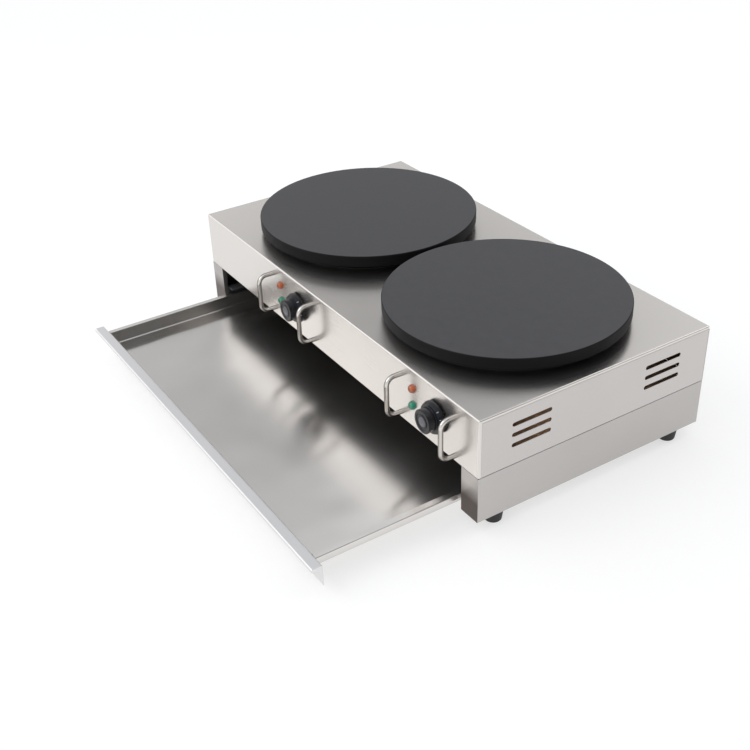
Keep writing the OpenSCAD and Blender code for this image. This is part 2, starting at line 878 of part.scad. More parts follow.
// Bulb against the plate and its capillary back to the thermostat
module sensor(side) {
    bulb_y = capillary_y + 8;
    pipe_r = capillary_d / 2;
    start_y = thermostat_y + thermostat[1];
    turn_y = start_y + 8;
    start_z = knob_z - thermostat[2] / 4;
    pipe_z = pan_bottom - 14;
    path = [
        [knob_x, start_y, start_z],
        [knob_x, turn_y, start_z],
        [knob_x, turn_y, pipe_z],
        [0, turn_y, pipe_z],
        [0, capillary_y, pipe_z],
        [0, capillary_y, sensor_z],
        [0, bulb_y + 1, sensor_z]
    ];
    color("peru")
        at_unit(side) {
            for (i = [0 : len(path) - 2])
                straight_pipe(path[i], path[i + 1], pipe_r);
            for (i = [1 : len(path) - 2])
                translate(path[i])
                    sphere(r = pipe_r + 0.2);
            translate([0, 0, sensor_z])
                bar_y(sensor_d / 2, bulb_y, ring_radius(1) - tube_d / 2 - sensor_gap);
        }
}

// Pipe between two points that differ along one axis only
module straight_pipe(a, b, r) {
    low = [min(a[0], b[0]), min(a[1], b[1]), min(a[2], b[2])];
    run_x = abs(b[0] - a[0]);
    run_y = abs(b[1] - a[1]);
    run_z = abs(b[2] - a[2]);
    translate(low)
        if (run_x > 0)
            bar_x(r, 0, run_x);
        else if (run_y > 0)
            bar_y(r, 0, run_y);
        else
            cylinder(h = run_z, r = r);
}

// Domed lens with its bezel, on the front panel
module lamp_lens(side, row, tint) {
    lens_r = lens_d / 2;
    color(tint)
        at_unit(side)
            translate([lamp_x, front_y, z_top - lamp_drop - row * lamp_pitch])
                rotate([90, 0, 0]) {
                    cylinder(h = bezel_t, r = lens_r + 0.9);
                    cylinder(h = lens_rise - lens_r * 0.55, r = lens_r);
                    intersection() {
                        translate([0, 0, lens_rise - lens_r * 1.25])
                            sphere(r = lens_r * 1.25);
                        cylinder(h = lens_rise, r = lens_r);
                    }
                }
}

module lamp_bodies() {
    color("ivory")
        for (side = SIDES, row = [0, 1])
            at_unit(side)
                translate([lamp_x, 0, z_top - lamp_drop - row * lamp_pitch]) {
                    bar_y(lamp_body_d / 2, front_y, front_y + lamp_body_l);
                    bar_y(lamp_body_d / 2 + 3, panel_in_y, panel_in_y + 1.4);
                    for (tab = SIDES)
                        translate([tab * 2.5, front_y + lamp_body_l + 3, 0])
                            cube([0.8, 8, 4], center = true);
                }
}

// ---------------------------------------------------------------- handles

// Centre of each handle, numbered from left to right
handle_xs = [for (unit = SIDES, side = SIDES)
    unit * plate_x + handle_mid_x + side * handle_half_x];

// Bent rod: two legs, two bends and the upright grip
module handle(index) {
    leg = handle_reach - handle_bend;
    color("silver")
        translate([handle_xs[index], 0, 0])
            difference() {
                union() {
                    for (z = [handle_top_z, handle_low_z])
                        translate([0, 0, z])
                            bar_y(rod_r, front_y - leg, front_y);
                    translate([0, handle_grip_y, handle_low_z + handle_bend])
                        cylinder(h = handle_h - 2 * handle_bend, r = rod_r);
                    translate([0, front_y - leg, handle_top_z - handle_bend])
                        rotate([0, -90, 0])
                            rotate([0, 0, 270])
                                rotate_extrude(angle = 90)
                                    translate([handle_bend, 0])
                                        circle(r = rod_r);
                    translate([0, front_y - leg, handle_low_z + handle_bend])
                        rotate([0, -90, 0])
                            rotate([0, 0, 180])
                                rotate_extrude(angle = 90)
                                    translate([handle_bend, 0])
                                        circle(r = rod_r);
                }
                for (z = [handle_top_z, handle_low_z])
                    translate([0, 0, z])
                        bar_y(handle_screw_r + run, front_y - handle_screw_l + 3, front_y + eps);
            }
}

module handle_screws() {
    color("gray")
        for (x = handle_xs, z = [handle_top_z, handle_low_z])
            translate([x, 0, z]) {
                bar_y(handle_screw_r, front_y - handle_screw_l + 4, panel_in_y + 1);
                bar_y(handle_screw_r * 1.9, panel_in_y, panel_in_y + 3);
            }
}

// ---------------------------------------------------------------- electrical and fixings

casing_screw_r = 2;
rear_screw_xs = [for (side = SIDES) side * (half_w - sheet - flange_w / 2 - 1)];
rear_screw_z = z_seam + casing_h / 2;

module terminal_block() {
    block = [66, 24, 22];
    floor_z = z_pan_top;
    color([0.9, 0.88, 0.8])
        translate([gland_x - 60, rear_y - 75, floor_z])
            difference() {
                translate([-block[0] / 2, -block[1] / 2, 0])
                    cube(block);
                for (i = [-2 : 2])
                    translate([i * 12, 0, block[2] - 10]) {
                        bar_y(2.6, -block[1], block[1]);
                        cylinder(h = block[2], r = 3);
                    }
            }
}

// Gland for the supply cord: threaded body, inside nut and clamping dome
module cable_gland() {
    dome_l = 14;
    color([0.1, 0.1, 0.1])
        translate([gland_x, 0, back_z])
            difference() {
                union() {
                    bar_y(gland_thread_r, rear_y - sheet - 8, rear_y + 6);
                    translate([0, rear_y + 5, 0])
                        rotate([90, 0, 0])
                            cylinder(h = 5, r = gland_nut_r, $fn = 6);
                    bar_y(gland_nut_r - 1, rear_y + 4.5, rear_y + dome_l - 3);
                    translate([0, rear_y + dome_l - 3 - eps, 0])
                        rotate([-90, 0, 0])
                            cylinder(h = 3, r1 = gland_nut_r - 1, r2 = gland_nut_r - 3.5);
                    bar_y(gland_nut_r, rear_y - sheet - 5, rear_y - sheet);
                }
                bar_y(gland_bore_d / 2, rear_y - sheet - 9, rear_y + dome_l + 1);
            }
}

// Bonding terminal: a stud through the back with its nuts and washer
module bond_stud() {
    stud = bond_d / 2;
    nut = bond_d * 0.9;
    color("goldenrod")
        translate([bond_x, 0, back_z]) {
            bar_y(stud, rear_y - sheet - 8, rear_y + 14);
            bar_y(nut + 1.5, rear_y, rear_y + 1.2);
            translate([0, rear_y + 5.2, 0])
                rotate([90, 0, 0])
                    cylinder(h = 4, r = nut, $fn = 6);
            translate([0, rear_y - sheet, 0])
                rotate([90, 0, 0])
                    cylinder(h = 4, r = nut, $fn = 6);
        }
}

// Screws that hold the back panel, and those that hold the heat pans' rims
module casing_screws() {
    color("silver") {
        for (x = rear_screw_xs)
            translate([x, 0, rear_screw_z]) {
                bar_y(casing_screw_r, rear_y - 2 * sheet - fit - 2, rear_y + 0.5);
                bar_y(casing_screw_r * 1.9, rear_y, rear_y + 1.6);
            }
        for (side = SIDES, angle = stud_angles)
            at_unit(side)
                rotate(angle + 60)
                    translate([pan_rim_r - 7, 0, z_under - pan_wall - 2.4]) {
                        cylinder(h = 2.4, r = 3.6);
                        cylinder(h = 2.4 + pan_wall + sheet, r = 2 - run);
                    }
    }
}

// ---------------------------------------------------------------- what is drawn

top_cover();
side_panel(-1);  // side_panel_left
side_panel(1);  // side_panel_right
rear_panel();
bottom_pan();
centre_divider();
base_shell();
rail(-1);  // rail_left
rail(1);  // rail_right
rail_rivets();
drawer_tray();
drawer_front();
drawer_rivets();
foot(-1, -1);  // foot_front_left
foot(1, -1);  // foot_front_right
foot(-1, 1);  // foot_rear_left
foot(1, 1);  // foot_rear_right
foot_screws();
plate(-1);  // plate_left
plate(1);  // plate_right
support_ring(-1);  // support_ring_left
support_ring(1);  // support_ring_right
element(-1);  // element_left
element(1);  // element_right
element_clamp(-1);  // element_clamp_left
element_clamp(1);  // element_clamp_right
insulation(-1);  // insulation_left
insulation(1);  // insulation_right
heat_pan(-1);  // heat_pan_left
heat_pan(1);  // heat_pan_right
plate_studs(-1);  // plate_studs_left
plate_studs(1);  // plate_studs_right
thermostat_body(-1);  // thermostat_left
thermostat_body(1);  // thermostat_right
shaft(-1);  // shaft_left
shaft(1);  // shaft_right
knob(-1);  // knob_left
knob(1);  // knob_right
knob_cap(-1);  // knob_cap_left
knob_cap(1);  // knob_cap_right
sensor(-1);  // sensor_left
sensor(1);  // sensor_right
lamp_lens(-1, 0, "orangered");  // lamp_red_left
lamp_lens(1, 0, "orangered");  // lamp_red_right
lamp_lens(-1, 1, "seagreen");  // lamp_green_left
lamp_lens(1, 1, "seagreen");  // lamp_green_right
lamp_bodies();
handle(0);  // handle_1
handle(1);  // handle_2
handle(2);  // handle_3
handle(3);  // handle_4
handle_screws();
terminal_block();
cable_gland();
bond_stud();
casing_screws();
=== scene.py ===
"""Looks of a double electric griddle: satin sheet steel, two cast plates and a wide drip drawer.

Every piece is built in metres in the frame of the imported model, and takes its place from it.
"""

from __future__ import annotations

import json
import logging
import math
from dataclasses import dataclass, replace
from enum import Enum
from typing import Callable, Iterable, Sequence

import bmesh
import bpy
from mathutils import Matrix, Vector

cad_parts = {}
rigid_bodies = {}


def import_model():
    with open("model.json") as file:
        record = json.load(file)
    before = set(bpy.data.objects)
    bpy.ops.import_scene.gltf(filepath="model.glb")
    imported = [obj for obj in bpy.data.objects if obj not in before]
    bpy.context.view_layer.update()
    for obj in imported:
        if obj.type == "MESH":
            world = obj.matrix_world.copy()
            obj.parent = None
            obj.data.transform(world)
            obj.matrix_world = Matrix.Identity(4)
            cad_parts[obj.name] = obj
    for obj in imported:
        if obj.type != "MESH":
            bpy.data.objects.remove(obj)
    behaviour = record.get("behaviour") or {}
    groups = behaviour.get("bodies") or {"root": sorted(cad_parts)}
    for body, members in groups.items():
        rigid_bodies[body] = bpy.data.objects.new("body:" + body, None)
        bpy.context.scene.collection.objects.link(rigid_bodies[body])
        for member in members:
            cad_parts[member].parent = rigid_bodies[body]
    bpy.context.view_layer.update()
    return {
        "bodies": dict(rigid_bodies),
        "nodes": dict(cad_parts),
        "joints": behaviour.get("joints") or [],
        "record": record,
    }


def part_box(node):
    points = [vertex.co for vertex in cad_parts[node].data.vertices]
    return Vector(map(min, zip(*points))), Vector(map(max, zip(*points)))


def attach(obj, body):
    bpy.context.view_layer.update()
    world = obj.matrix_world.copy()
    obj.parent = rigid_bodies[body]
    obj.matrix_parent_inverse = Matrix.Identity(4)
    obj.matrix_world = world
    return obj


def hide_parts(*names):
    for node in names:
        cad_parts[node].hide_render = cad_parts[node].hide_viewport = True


LOG = logging.getLogger("griddle")
MM = 0.001

Point2 = tuple[float, float]
Corner = tuple[float, float, float]
Colour = tuple[float, float, float]


class Side(Enum):
    """The two cooking units, seen from the front."""

    LEFT = "left"
    RIGHT = "right"


class Body(Enum):
    """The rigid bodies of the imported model."""

    CABINET = "cabinet"
    DRAWER = "drawer"
    CONTROL_LEFT = "control_left"
    CONTROL_RIGHT = "control_right"

    @staticmethod
    def control(side: Side) -> "Body":
        """The body of the knob on that side."""
        return Body.CONTROL_LEFT if side is Side.LEFT else Body.CONTROL_RIGHT


# ------------------------------------------------------------------ shader parts


class ShaderTree:
    """A node tree with short calls to add and join its nodes."""

    def __init__(self, tree: bpy.types.NodeTree) -> None:
        """Keeps the tree.

        Args:
            tree: the material's or the group's node tree.
        """
        self.tree = tree

    def add(self, kind: str, **values: object) -> bpy.types.Node:
        """Adds a node.

        Args:
            kind: the node's Blender type.
            values: properties of the node.

        Returns:
            The new node.
        """
        node = self.tree.nodes.new(kind)
        for name, value in values.items():
            setattr(node, name, value)
        return node

    def join(self, source: bpy.types.NodeSocket, target: bpy.types.NodeSocket) -> None:
        """Links an output to an input."""
        self.tree.links.new(source, target)

    def maths(self, operation: str, *inputs: object, clamp: bool = False) -> bpy.types.NodeSocket:
        """Adds a Math node.

        Args:
            operation: the node's operation.
            inputs: sockets or numbers, in order.
            clamp: whether the result is kept between 0 and 1.

        Returns:
            The node's output.
        """
        node = self.add("ShaderNodeMath", operation=operation, use_clamp=clamp)
        self._fill(node.inputs, inputs)
        return node.outputs[0]

    def vector(self, operation: str, *inputs: object, output: int = 0) -> bpy.types.NodeSocket:
        """Adds a Vector Math node.

        Args:
            operation: the node's operation.
            inputs: sockets or vectors, in order.
            output: which output is wanted.

        Returns:
            That output.
        """
        node = self.add("ShaderNodeVectorMath", operation=operation)
        self._fill(node.inputs, inputs)
        return node.outputs[output]

    def noise(self, vector: bpy.types.NodeSocket, scale: float, detail: float = 3.0,
              roughness: float = 0.5) -> bpy.types.NodeSocket:
        """Adds a Noise Texture and gives its Fac output."""
        node = self.add("ShaderNodeTexNoise")
        self.feed(node, {"Vector": vector, "Scale": scale, "Detail": detail, "Roughness": roughness})
        return node.outputs["Fac"]

    def spread(self, value: bpy.types.NodeSocket, low: float, high: float,
               to_low: object = 0.0, to_high: object = 1.0) -> bpy.types.NodeSocket:
        """Maps a range of values to another, with the ends held.

        Args:
            value: the value to map.
            low: start of its range.
            high: end of its range.
            to_low: result at the start, a number or a socket.
            to_high: result at the end, a number or a socket.

        Returns:
            The mapped value.
        """
        node = self.add("ShaderNodeMapRange")
        self._fill(node.inputs, (value, low, high, to_low, to_high))
        return node.outputs[0]

    def blend(self, mask: bpy.types.NodeSocket, first: object, second: object) -> bpy.types.NodeSocket:
        """Mixes two colours by a mask and gives the colour."""
        node = self.add("ShaderNodeMix", data_type="RGBA")
        self.join(mask, node.inputs["Factor"])
        colours = [c if isinstance(c, bpy.types.NodeSocket) else (*c, 1.0) for c in (first, second)]
        self._fill([s for s in node.inputs if s.type == "RGBA"], colours)
        return next(s for s in node.outputs if s.type == "RGBA")

    def place_parts(self) -> bpy.types.NodeOutputs:
        """The X, Y and Z of a place on the piece."""
        parts = self.add("ShaderNodeSeparateXYZ")
        self.join(self.add("ShaderNodeTexCoord").outputs["Object"], parts.inputs[0])
        return parts.outputs

    def feed(self, node: bpy.types.Node, values: dict[str, object]) -> None:
        """Joins or sets a node's inputs by their names."""
        self._fill([node.inputs[name] for name in values], values.values())

    def _fill(self, sockets: Iterable[bpy.types.NodeSocket], values: Iterable[object]) -> None:
        """Joins each socket to a value that is a socket, or sets it to a plain value."""
        for socket, value in zip(sockets, values):
            if isinstance(value, bpy.types.NodeSocket):
                self.join(value, socket)
            elif value is not None:
                socket.default_value = value


class SharedEffects:
    """Shader groups that several finishes use, each built once."""

    def __init__(self) -> None:
        """Builds the groups."""
        self.rolled_grain = self._make_rolled_grain()
        self.handling_marks = self._make_handling_marks()
        self.turned_rings = self._make_turned_rings()
        self.moulded_skin = self._make_moulded_skin()

    @staticmethod
    def _start(name: str, inputs: Sequence[tuple[str, str, object]],
               outputs: Sequence[tuple[str, str]]) -> tuple[ShaderTree, bpy.types.Node, bpy.types.Node]:
        """Starts a group with its sockets.

        Args:
            name: the group's name.
            inputs: name, socket type and default of each input.
            outputs: name and socket type of each output.

        Returns:
            The group's tree, and its input and output nodes.
        """
        tree = bpy.data.node_groups.new(name, "ShaderNodeTree")
        for label, kind, default in inputs:
            socket = tree.interface.new_socket(name=label, in_out="INPUT", socket_type=kind)
            if default is not None:
                socket.default_value = default
        for label, kind in outputs:
            tree.interface.new_socket(name=label, in_out="OUTPUT", socket_type=kind)
        shader = ShaderTree(tree)
        return shader, shader.add("NodeGroupInput"), shader.add("NodeGroupOutput")

    def _make_rolled_grain(self) -> bpy.types.NodeTree:
        """Fine lines that sheet metal keeps from its rolling and brushing."""
        shader, given, result = self._start(
            "rolled_grain",
            [("Vector", "NodeSocketVector", None),
             ("Stretch", "NodeSocketVector", (30.0, 900.0, 900.0)),
             ("Cloud", "NodeSocketFloat", 3.0)],
            [("Lines", "NodeSocketFloat"), ("Clouds", "NodeSocketFloat")])
        stretched = shader.vector("MULTIPLY", given.outputs["Vector"], given.outputs["Stretch"])
        fine = shader.noise(stretched, 1.0, 2.0)
        coarse = shader.noise(stretched, 0.31, 2.0)
        shader.join(shader.maths("ADD", shader.maths("MULTIPLY", fine, 0.6),
                                 shader.maths("MULTIPLY", coarse, 0.4)), result.inputs["Lines"])
        cloud_vector = shader.vector("SCALE", given.outputs["Vector"])
        shader.join(given.outputs["Cloud"], cloud_vector.node.inputs["Scale"])
        shader.join(shader.noise(cloud_vector, 1.0, 3.0, 0.55), result.inputs["Clouds"])
        return shader.tree

    def _make_handling_marks(self) -> bpy.types.NodeTree:
        """Soft patches where a surface has been wiped and touched."""
        shader, given, result = self._start(
            "handling_marks",
            [("Vector", "NodeSocketVector", None), ("Amount", "NodeSocketFloat", 0.5)],
            [("Mask", "NodeSocketFloat")])
        broad = shader.noise(given.outputs["Vector"], 5.0, 1.0, 0.4)
        small = shader.noise(given.outputs["Vector"], 14.0, 1.0, 0.4)
        patch = shader.maths("MULTIPLY", shader.spread(broad, 0.4, 0.8), shader.spread(small, 0.2, 0.8))
        shader.join(shader.maths("MULTIPLY", patch, given.outputs["Amount"], clamp=True),
                    result.inputs["Mask"])
        return shader.tree

    def _make_turned_rings(self) -> bpy.types.NodeTree:
        """Concentric marks of a lathe tool round the piece's own Z axis."""
        shader, given, result = self._start(
            "turned_rings",
            [("Vector", "NodeSocketVector", None), ("Pitch", "NodeSocketFloat", 0.0012)],
            [("Rings", "NodeSocketFloat"), ("Radius", "NodeSocketFloat")])
        flat = shader.vector("MULTIPLY", given.outputs["Vector"], (1.0, 1.0, 0.0))
        radius = shader.vector("LENGTH", flat, output=1)
        wobble = shader.maths("MULTIPLY", shader.noise(given.outputs["Vector"], 20.0, 2.0), 0.0012)
        turns = shader.maths("DIVIDE", shader.maths("ADD", radius, wobble), given.outputs["Pitch"])
        shader.join(shader.maths("MULTIPLY_ADD", shader.maths("SINE", turns), 0.5, 0.5),
                    result.inputs["Rings"])
        shader.join(radius, result.inputs["Radius"])
        return shader.tree

    def _make_moulded_skin(self) -> bpy.types.NodeTree:
        """The fine pebbled skin and mottling of moulded or cast pieces."""
        shader, given, result = self._start(
            "moulded_skin",
            [("Vector", "NodeSocketVector", None), ("Scale", "NodeSocketFloat", 2500.0)],
            [("Pebble", "NodeSocketFloat"), ("Mottle", "NodeSocketFloat")])
        scaled = shader.vector("SCALE", given.outputs["Vector"])
        shader.join(given.outputs["Scale"], scaled.node.inputs["Scale"])
        shader.join(shader.noise(scaled, 1.0, 2.0), result.inputs["Pebble"])
        shader.join(shader.noise(given.outputs["Vector"], 60.0, 4.0, 0.6), result.inputs["Mottle"])
        return shader.tree


class Painter:
    """Starts materials and places the shared groups in them."""

    def __init__(self, effects: SharedEffects) -> None:
        """Keeps the groups.

        Args:
            effects: the shared shader groups.
        """
        self.effects = effects

    def start(self, name: str) -> tuple[bpy.types.Material, ShaderTree, bpy.types.Node]:
        """Starts a material.

        Args:
            name: the material's name.

        Returns:
            The material, its tree, and its Principled shader.
        """
        material = bpy.data.materials.new(name)
        material.use_nodes = True
        shader = ShaderTree(material.node_tree)
        return material, shader, material.node_tree.nodes["Principled BSDF"]

    def place(self, shader: ShaderTree, group: bpy.types.NodeTree, **values: object) -> bpy.types.Node:
        """Places a shared group, fed with the piece's own coordinates.

        Args:
            shader: the material's tree.
            group: the shared group.
            values: values of the group's inputs.

        Returns:
            The group node.
        """
        node = shader.add("ShaderNodeGroup", node_tree=group)
        coordinates = shader.add("ShaderNodeTexCoord")
        shader.feed(node, {"Vector": coordinates.outputs["Object"], **values})
        return node

    @staticmethod
    def bump(shader: ShaderTree, bsdf: bpy.types.Node, height: bpy.types.NodeSocket,
             strength: float, distance: float) -> None:
        """Adds a Bump node between a height and the shader's Normal."""
        node = shader.add("ShaderNodeBump")
        shader.feed(node, {"Strength": strength, "Distance": distance, "Height": height})
        shader.join(node.outputs["Normal"], bsdf.inputs["Normal"])


@dataclass(frozen=True)
class SheetFinish:
    """Satin sheet metal: rolling lines, cloudy sheen, wiped patches and, where a plane is given, painted
    shade on that upright plane.
    """

    name: str
    tint: Colour
    shade: Colour
    roughness: float
    spread: float
    stretch: tuple[float, float, float]
    line_depth: float = 0.0015 * MM
    marks: float = 0.35
    wiped: float = 0.12
    metallic: float = 1.0
    across: tuple[float, float, float] | None = None
    directional: float = 0.75
    # The next four fields paint shade on the faces of one upright plane, darkest low down.
    front_plane: float | None = None
    painted_shade_tint: Colour = (0.11, 0.09, 0.08)
    front_heights: tuple[float, float] = (84 * MM, 56 * MM)
    upper_shade: float = 0.15
    slope: float = 0.0
    wave: float = 0.0
    waves_per_metre: float = 7.0

    def make(self, painter: Painter) -> bpy.types.Material:
        """Builds the material."""
        material, shader, bsdf = painter.start(self.name)
        grain = painter.place(shader, painter.effects.rolled_grain, Stretch=self.stretch)
        marks = painter.place(shader, painter.effects.handling_marks, Amount=self.marks)
        clouds = shader.spread(grain.outputs["Clouds"], 0.3, 0.7)
        colour = shader.blend(clouds, self.shade, self.tint)
        if self.front_plane is not None:
            colour = self._front(shader, colour)
        base = shader.maths("MULTIPLY_ADD", grain.outputs["Lines"], self.spread,
                            self.roughness - self.spread / 2)
        wiped = shader.maths("MULTIPLY_ADD", marks.outputs["Mask"], self.wiped, base)
        shader.feed(bsdf, {"Base Color": colour, "Roughness": wiped, "Metallic": self.metallic})
        if self.across:
            brushed = shader.add("ShaderNodeCombineXYZ")
            shader.feed(brushed, dict(zip("XYZ", self.across)))
            shader.feed(bsdf, {"Anisotropic": self.directional, "Tangent": brushed.outputs[0]})
        height = shader.maths("MULTIPLY", grain.outputs["Lines"], self.line_depth)
        if self.slope or self.wave:
            height = shader.maths("ADD", height, self._dish(shader))
        painter.bump(shader, bsdf, height, 1.0, 1.0)
        return material

    def _front(self, shader: ShaderTree, colour: bpy.types.NodeSocket) -> bpy.types.NodeSocket:
        """Darkens the faces on one upright plane, which stand in shade.

        Args:
            shader: the material's tree.
            colour: the sheet's colour.

        Returns:
            The colour with the plane darkened, most of all low down.
        """
        parts = shader.place_parts()
        front = shader.spread(parts["Y"], self.front_plane + 0.5 * MM, self.front_plane + 0.1 * MM)
        low = shader.spread(parts["Z"], *self.front_heights, self.upper_shade, 1.0)
        return shader.blend(shader.maths("MULTIPLY", front, low), colour, self.painted_shade_tint)

    def _dish(self, shader: ShaderTree) -> bpy.types.NodeSocket:
        """The slight sag and waviness of a wide thin sheet, in metres."""
        coordinates = shader.add("ShaderNodeTexCoord").outputs["Object"]
        sag = shader.vector("DOT_PRODUCT", coordinates, (0.0, self.slope, 0.0), output=1)
        waves = shader.noise(coordinates, self.waves_per_metre, 1.0, 0.4)
        return shader.maths("MULTIPLY_ADD", waves, self.wave, sag)


@dataclass(frozen=True)
class PanFinish:
    """Floor of the casing: painted near-black shade on its rim and underside, and a painted dim warm light on
    its top side, which is seen through the vents.
    """

    low: Vector
    high: Vector
    name: str = "casing_floor_sheet"
    # Near-black painted shade on the rim and the underside.
    rim: Colour = (0.006, 0.005, 0.0045)
    # Painted dim warm light on the top side.
    top: Colour = (0.30, 0.22, 0.16)
    margin: float = 4 * MM
    roughness: float = 0.5
    metallic: float = 0.5

    def make(self, painter: Painter) -> bpy.types.Material:
        """Builds the material."""
        material, shader, bsdf = painter.start(self.name)
        grain = painter.place(shader, painter.effects.rolled_grain, Stretch=(60.0, 60.0, 60.0))
        parts = shader.place_parts()
        # The mask picks the top side inside the margin, which gets the painted warm light; the rest gets the
        # painted shade.
        mask = shader.spread(parts["Z"], self.high.z - 0.4 * MM, self.high.z - 0.2 * MM)
        for axis, name in enumerate("XY"):
            middle = (self.low[axis] + self.high[axis]) / 2
            reach = (self.high[axis] - self.low[axis]) / 2 - self.margin
            offset = shader.maths("ABSOLUTE", shader.maths("SUBTRACT", parts[name], middle))
            mask = shader.maths("MULTIPLY", mask, shader.spread(offset, reach, reach - self.margin / 2))
        rough = shader.maths("MULTIPLY_ADD", grain.outputs["Lines"], 0.1, self.roughness)
        shader.feed(bsdf, {"Base Color": shader.blend(mask, self.rim, self.top), "Roughness": rough,
                           "Metallic": shader.maths("MULTIPLY", mask, self.metallic),
                           "Specular IOR Level": 0.1})
        painter.bump(shader, bsdf, grain.outputs["Lines"], 1.0, 0.00001)
        return material


@dataclass(frozen=True)
class CastFinish:
    """Turned and seasoned cast iron: faint rings, a mottled dark skin, and a darker, less glossy side face.
    """

    name: str = "seasoned_cast_iron"
    dark: Colour = (0.031, 0.031, 0.036)
    light: Colour = (0.045, 0.045, 0.051)
    edge: Colour = (0.009, 0.009, 0.010)
    roughness: float = 0.5
    rim_radius: float = 198.2 * MM

    def make(self, painter: Painter) -> bpy.types.Material:
        """Builds the material."""
        material, shader, bsdf = painter.start(self.name)
        rings = painter.place(shader, painter.effects.turned_rings, Pitch=0.00022)
        skin = painter.place(shader, painter.effects.moulded_skin, Scale=1400.0)
        mottle = shader.spread(skin.outputs["Mottle"], 0.3, 0.72)
        colour = shader.blend(mottle, self.dark, self.light)
        side = shader.spread(rings.outputs["Radius"], self.rim_radius, self.rim_radius + 1.2 * MM)
        rough = shader.maths("MULTIPLY_ADD", skin.outputs["Mottle"], 0.16, self.roughness - 0.08)
        shader.feed(bsdf, {"Base Color": shader.blend(side, colour, self.edge), "Roughness": rough,
                           "Specular IOR Level": shader.maths("MULTIPLY_ADD", side, -0.42, 0.5),
                           "Metallic": 0.0})
        height = shader.maths("ADD", shader.maths("MULTIPLY", rings.outputs["Rings"], 0.35),
                              skin.outputs["Pebble"])
        painter.bump(shader, bsdf, height, 0.3, 0.00006)
        return material


@dataclass(frozen=True)
class SkinFinish:
    """Moulded plastic, rubber, enamel or ceramic: a pebbled skin with slight mottling."""

    name: str
    dark: Colour
    light: Colour
    roughness: float
    pebble: float = 1800.0
    depth: float = 0.00004
    specular: float = 0.5
    coat: float = 0.0

    def make(self, painter: Painter) -> bpy.types.Material:
        """Builds the material."""
        material, shader, bsdf = painter.start(self.name)
        skin = painter.place(shader, painter.effects.moulded_skin, Scale=self.pebble)
        marks = painter.place(shader, painter.effects.handling_marks, Amount=0.6)
        mottle = shader.spread(skin.outputs["Mottle"], 0.3, 0.7)
        rough = shader.maths("MULTIPLY_ADD", marks.outputs["Mask"], 0.12, self.roughness)
        shader.feed(bsdf, {"Base Color": shader.blend(mottle, self.dark, self.light), "Roughness": rough,
                           "Specular IOR Level": self.specular, "Coat Weight": self.coat,
                           "Coat Roughness": 0.2})
        painter.bump(shader, bsdf, skin.outputs["Pebble"], 0.5, self.depth)
        return material


@dataclass(frozen=True)
class LensFinish:
    """Coloured lamp lens: clear tinted plastic with a lit core."""

    name: str
    tint: Colour
    core: Colour
    glow: float

    def make(self, painter: Painter) -> bpy.types.Material:
        """Builds the material."""
        material, shader, bsdf = painter.start(self.name)
        skin = painter.place(shader, painter.effects.moulded_skin, Scale=900.0)
        facing = shader.add("ShaderNodeLayerWeight")
        shader.feed(facing, {"Blend": 0.45})
        mottle = shader.maths("MULTIPLY", skin.outputs["Mottle"], 0.3)
        mask = shader.maths("ADD", facing.outputs["Facing"], mottle, clamp=True)
        colour = shader.blend(mask, self.core, self.tint)
        shader.feed(bsdf, {"Base Color": colour, "Roughness": 0.16, "Coat Weight": 0.5,
                           "Emission Color": colour, "Emission Strength": self.glow})
        painter.bump(shader, bsdf, skin.outputs["Pebble"], 0.15, 0.00004)
        return material


@dataclass(frozen=True)
class RodFinish:
    """Polished round metal with faint draw lines and, on a rod, a painted dark reflection along its flanks.
    """

    name: str
    tint: Colour
    shade: Colour
    roughness: float
    # Colour of the painted dark reflection along a rod's flanks.
    rim: Colour | None = None

    def make(self, painter: Painter) -> bpy.types.Material:
        """Builds the material."""
        material, shader, bsdf = painter.start(self.name)
        grain = painter.place(shader, painter.effects.rolled_grain, Stretch=(500.0, 500.0, 120.0), Cloud=40.0)
        marks = painter.place(shader, painter.effects.handling_marks, Amount=0.5)
        colour = shader.blend(grain.outputs["Clouds"], self.shade, self.tint)
        # Paints a dark reflection on the flanks, where the surface turns away from the view.
        if self.rim:
            facing = shader.add("ShaderNodeLayerWeight")
            shader.feed(facing, {"Blend": 0.5})
            flank = shader.spread(facing.outputs["Facing"], 0.12, 0.6)
            colour = shader.blend(flank, colour, self.rim)
        rough = shader.maths("MULTIPLY_ADD", marks.outputs["Mask"], 0.15, self.roughness)
        rough = shader.maths("MULTIPLY_ADD", grain.outputs["Lines"], 0.06, rough)
        shader.feed(bsdf, {"Base Color": colour, "Roughness": rough, "Metallic": 1.0})
        painter.bump(shader, bsdf, grain.outputs["Lines"], 0.12, 0.00003)
        return material


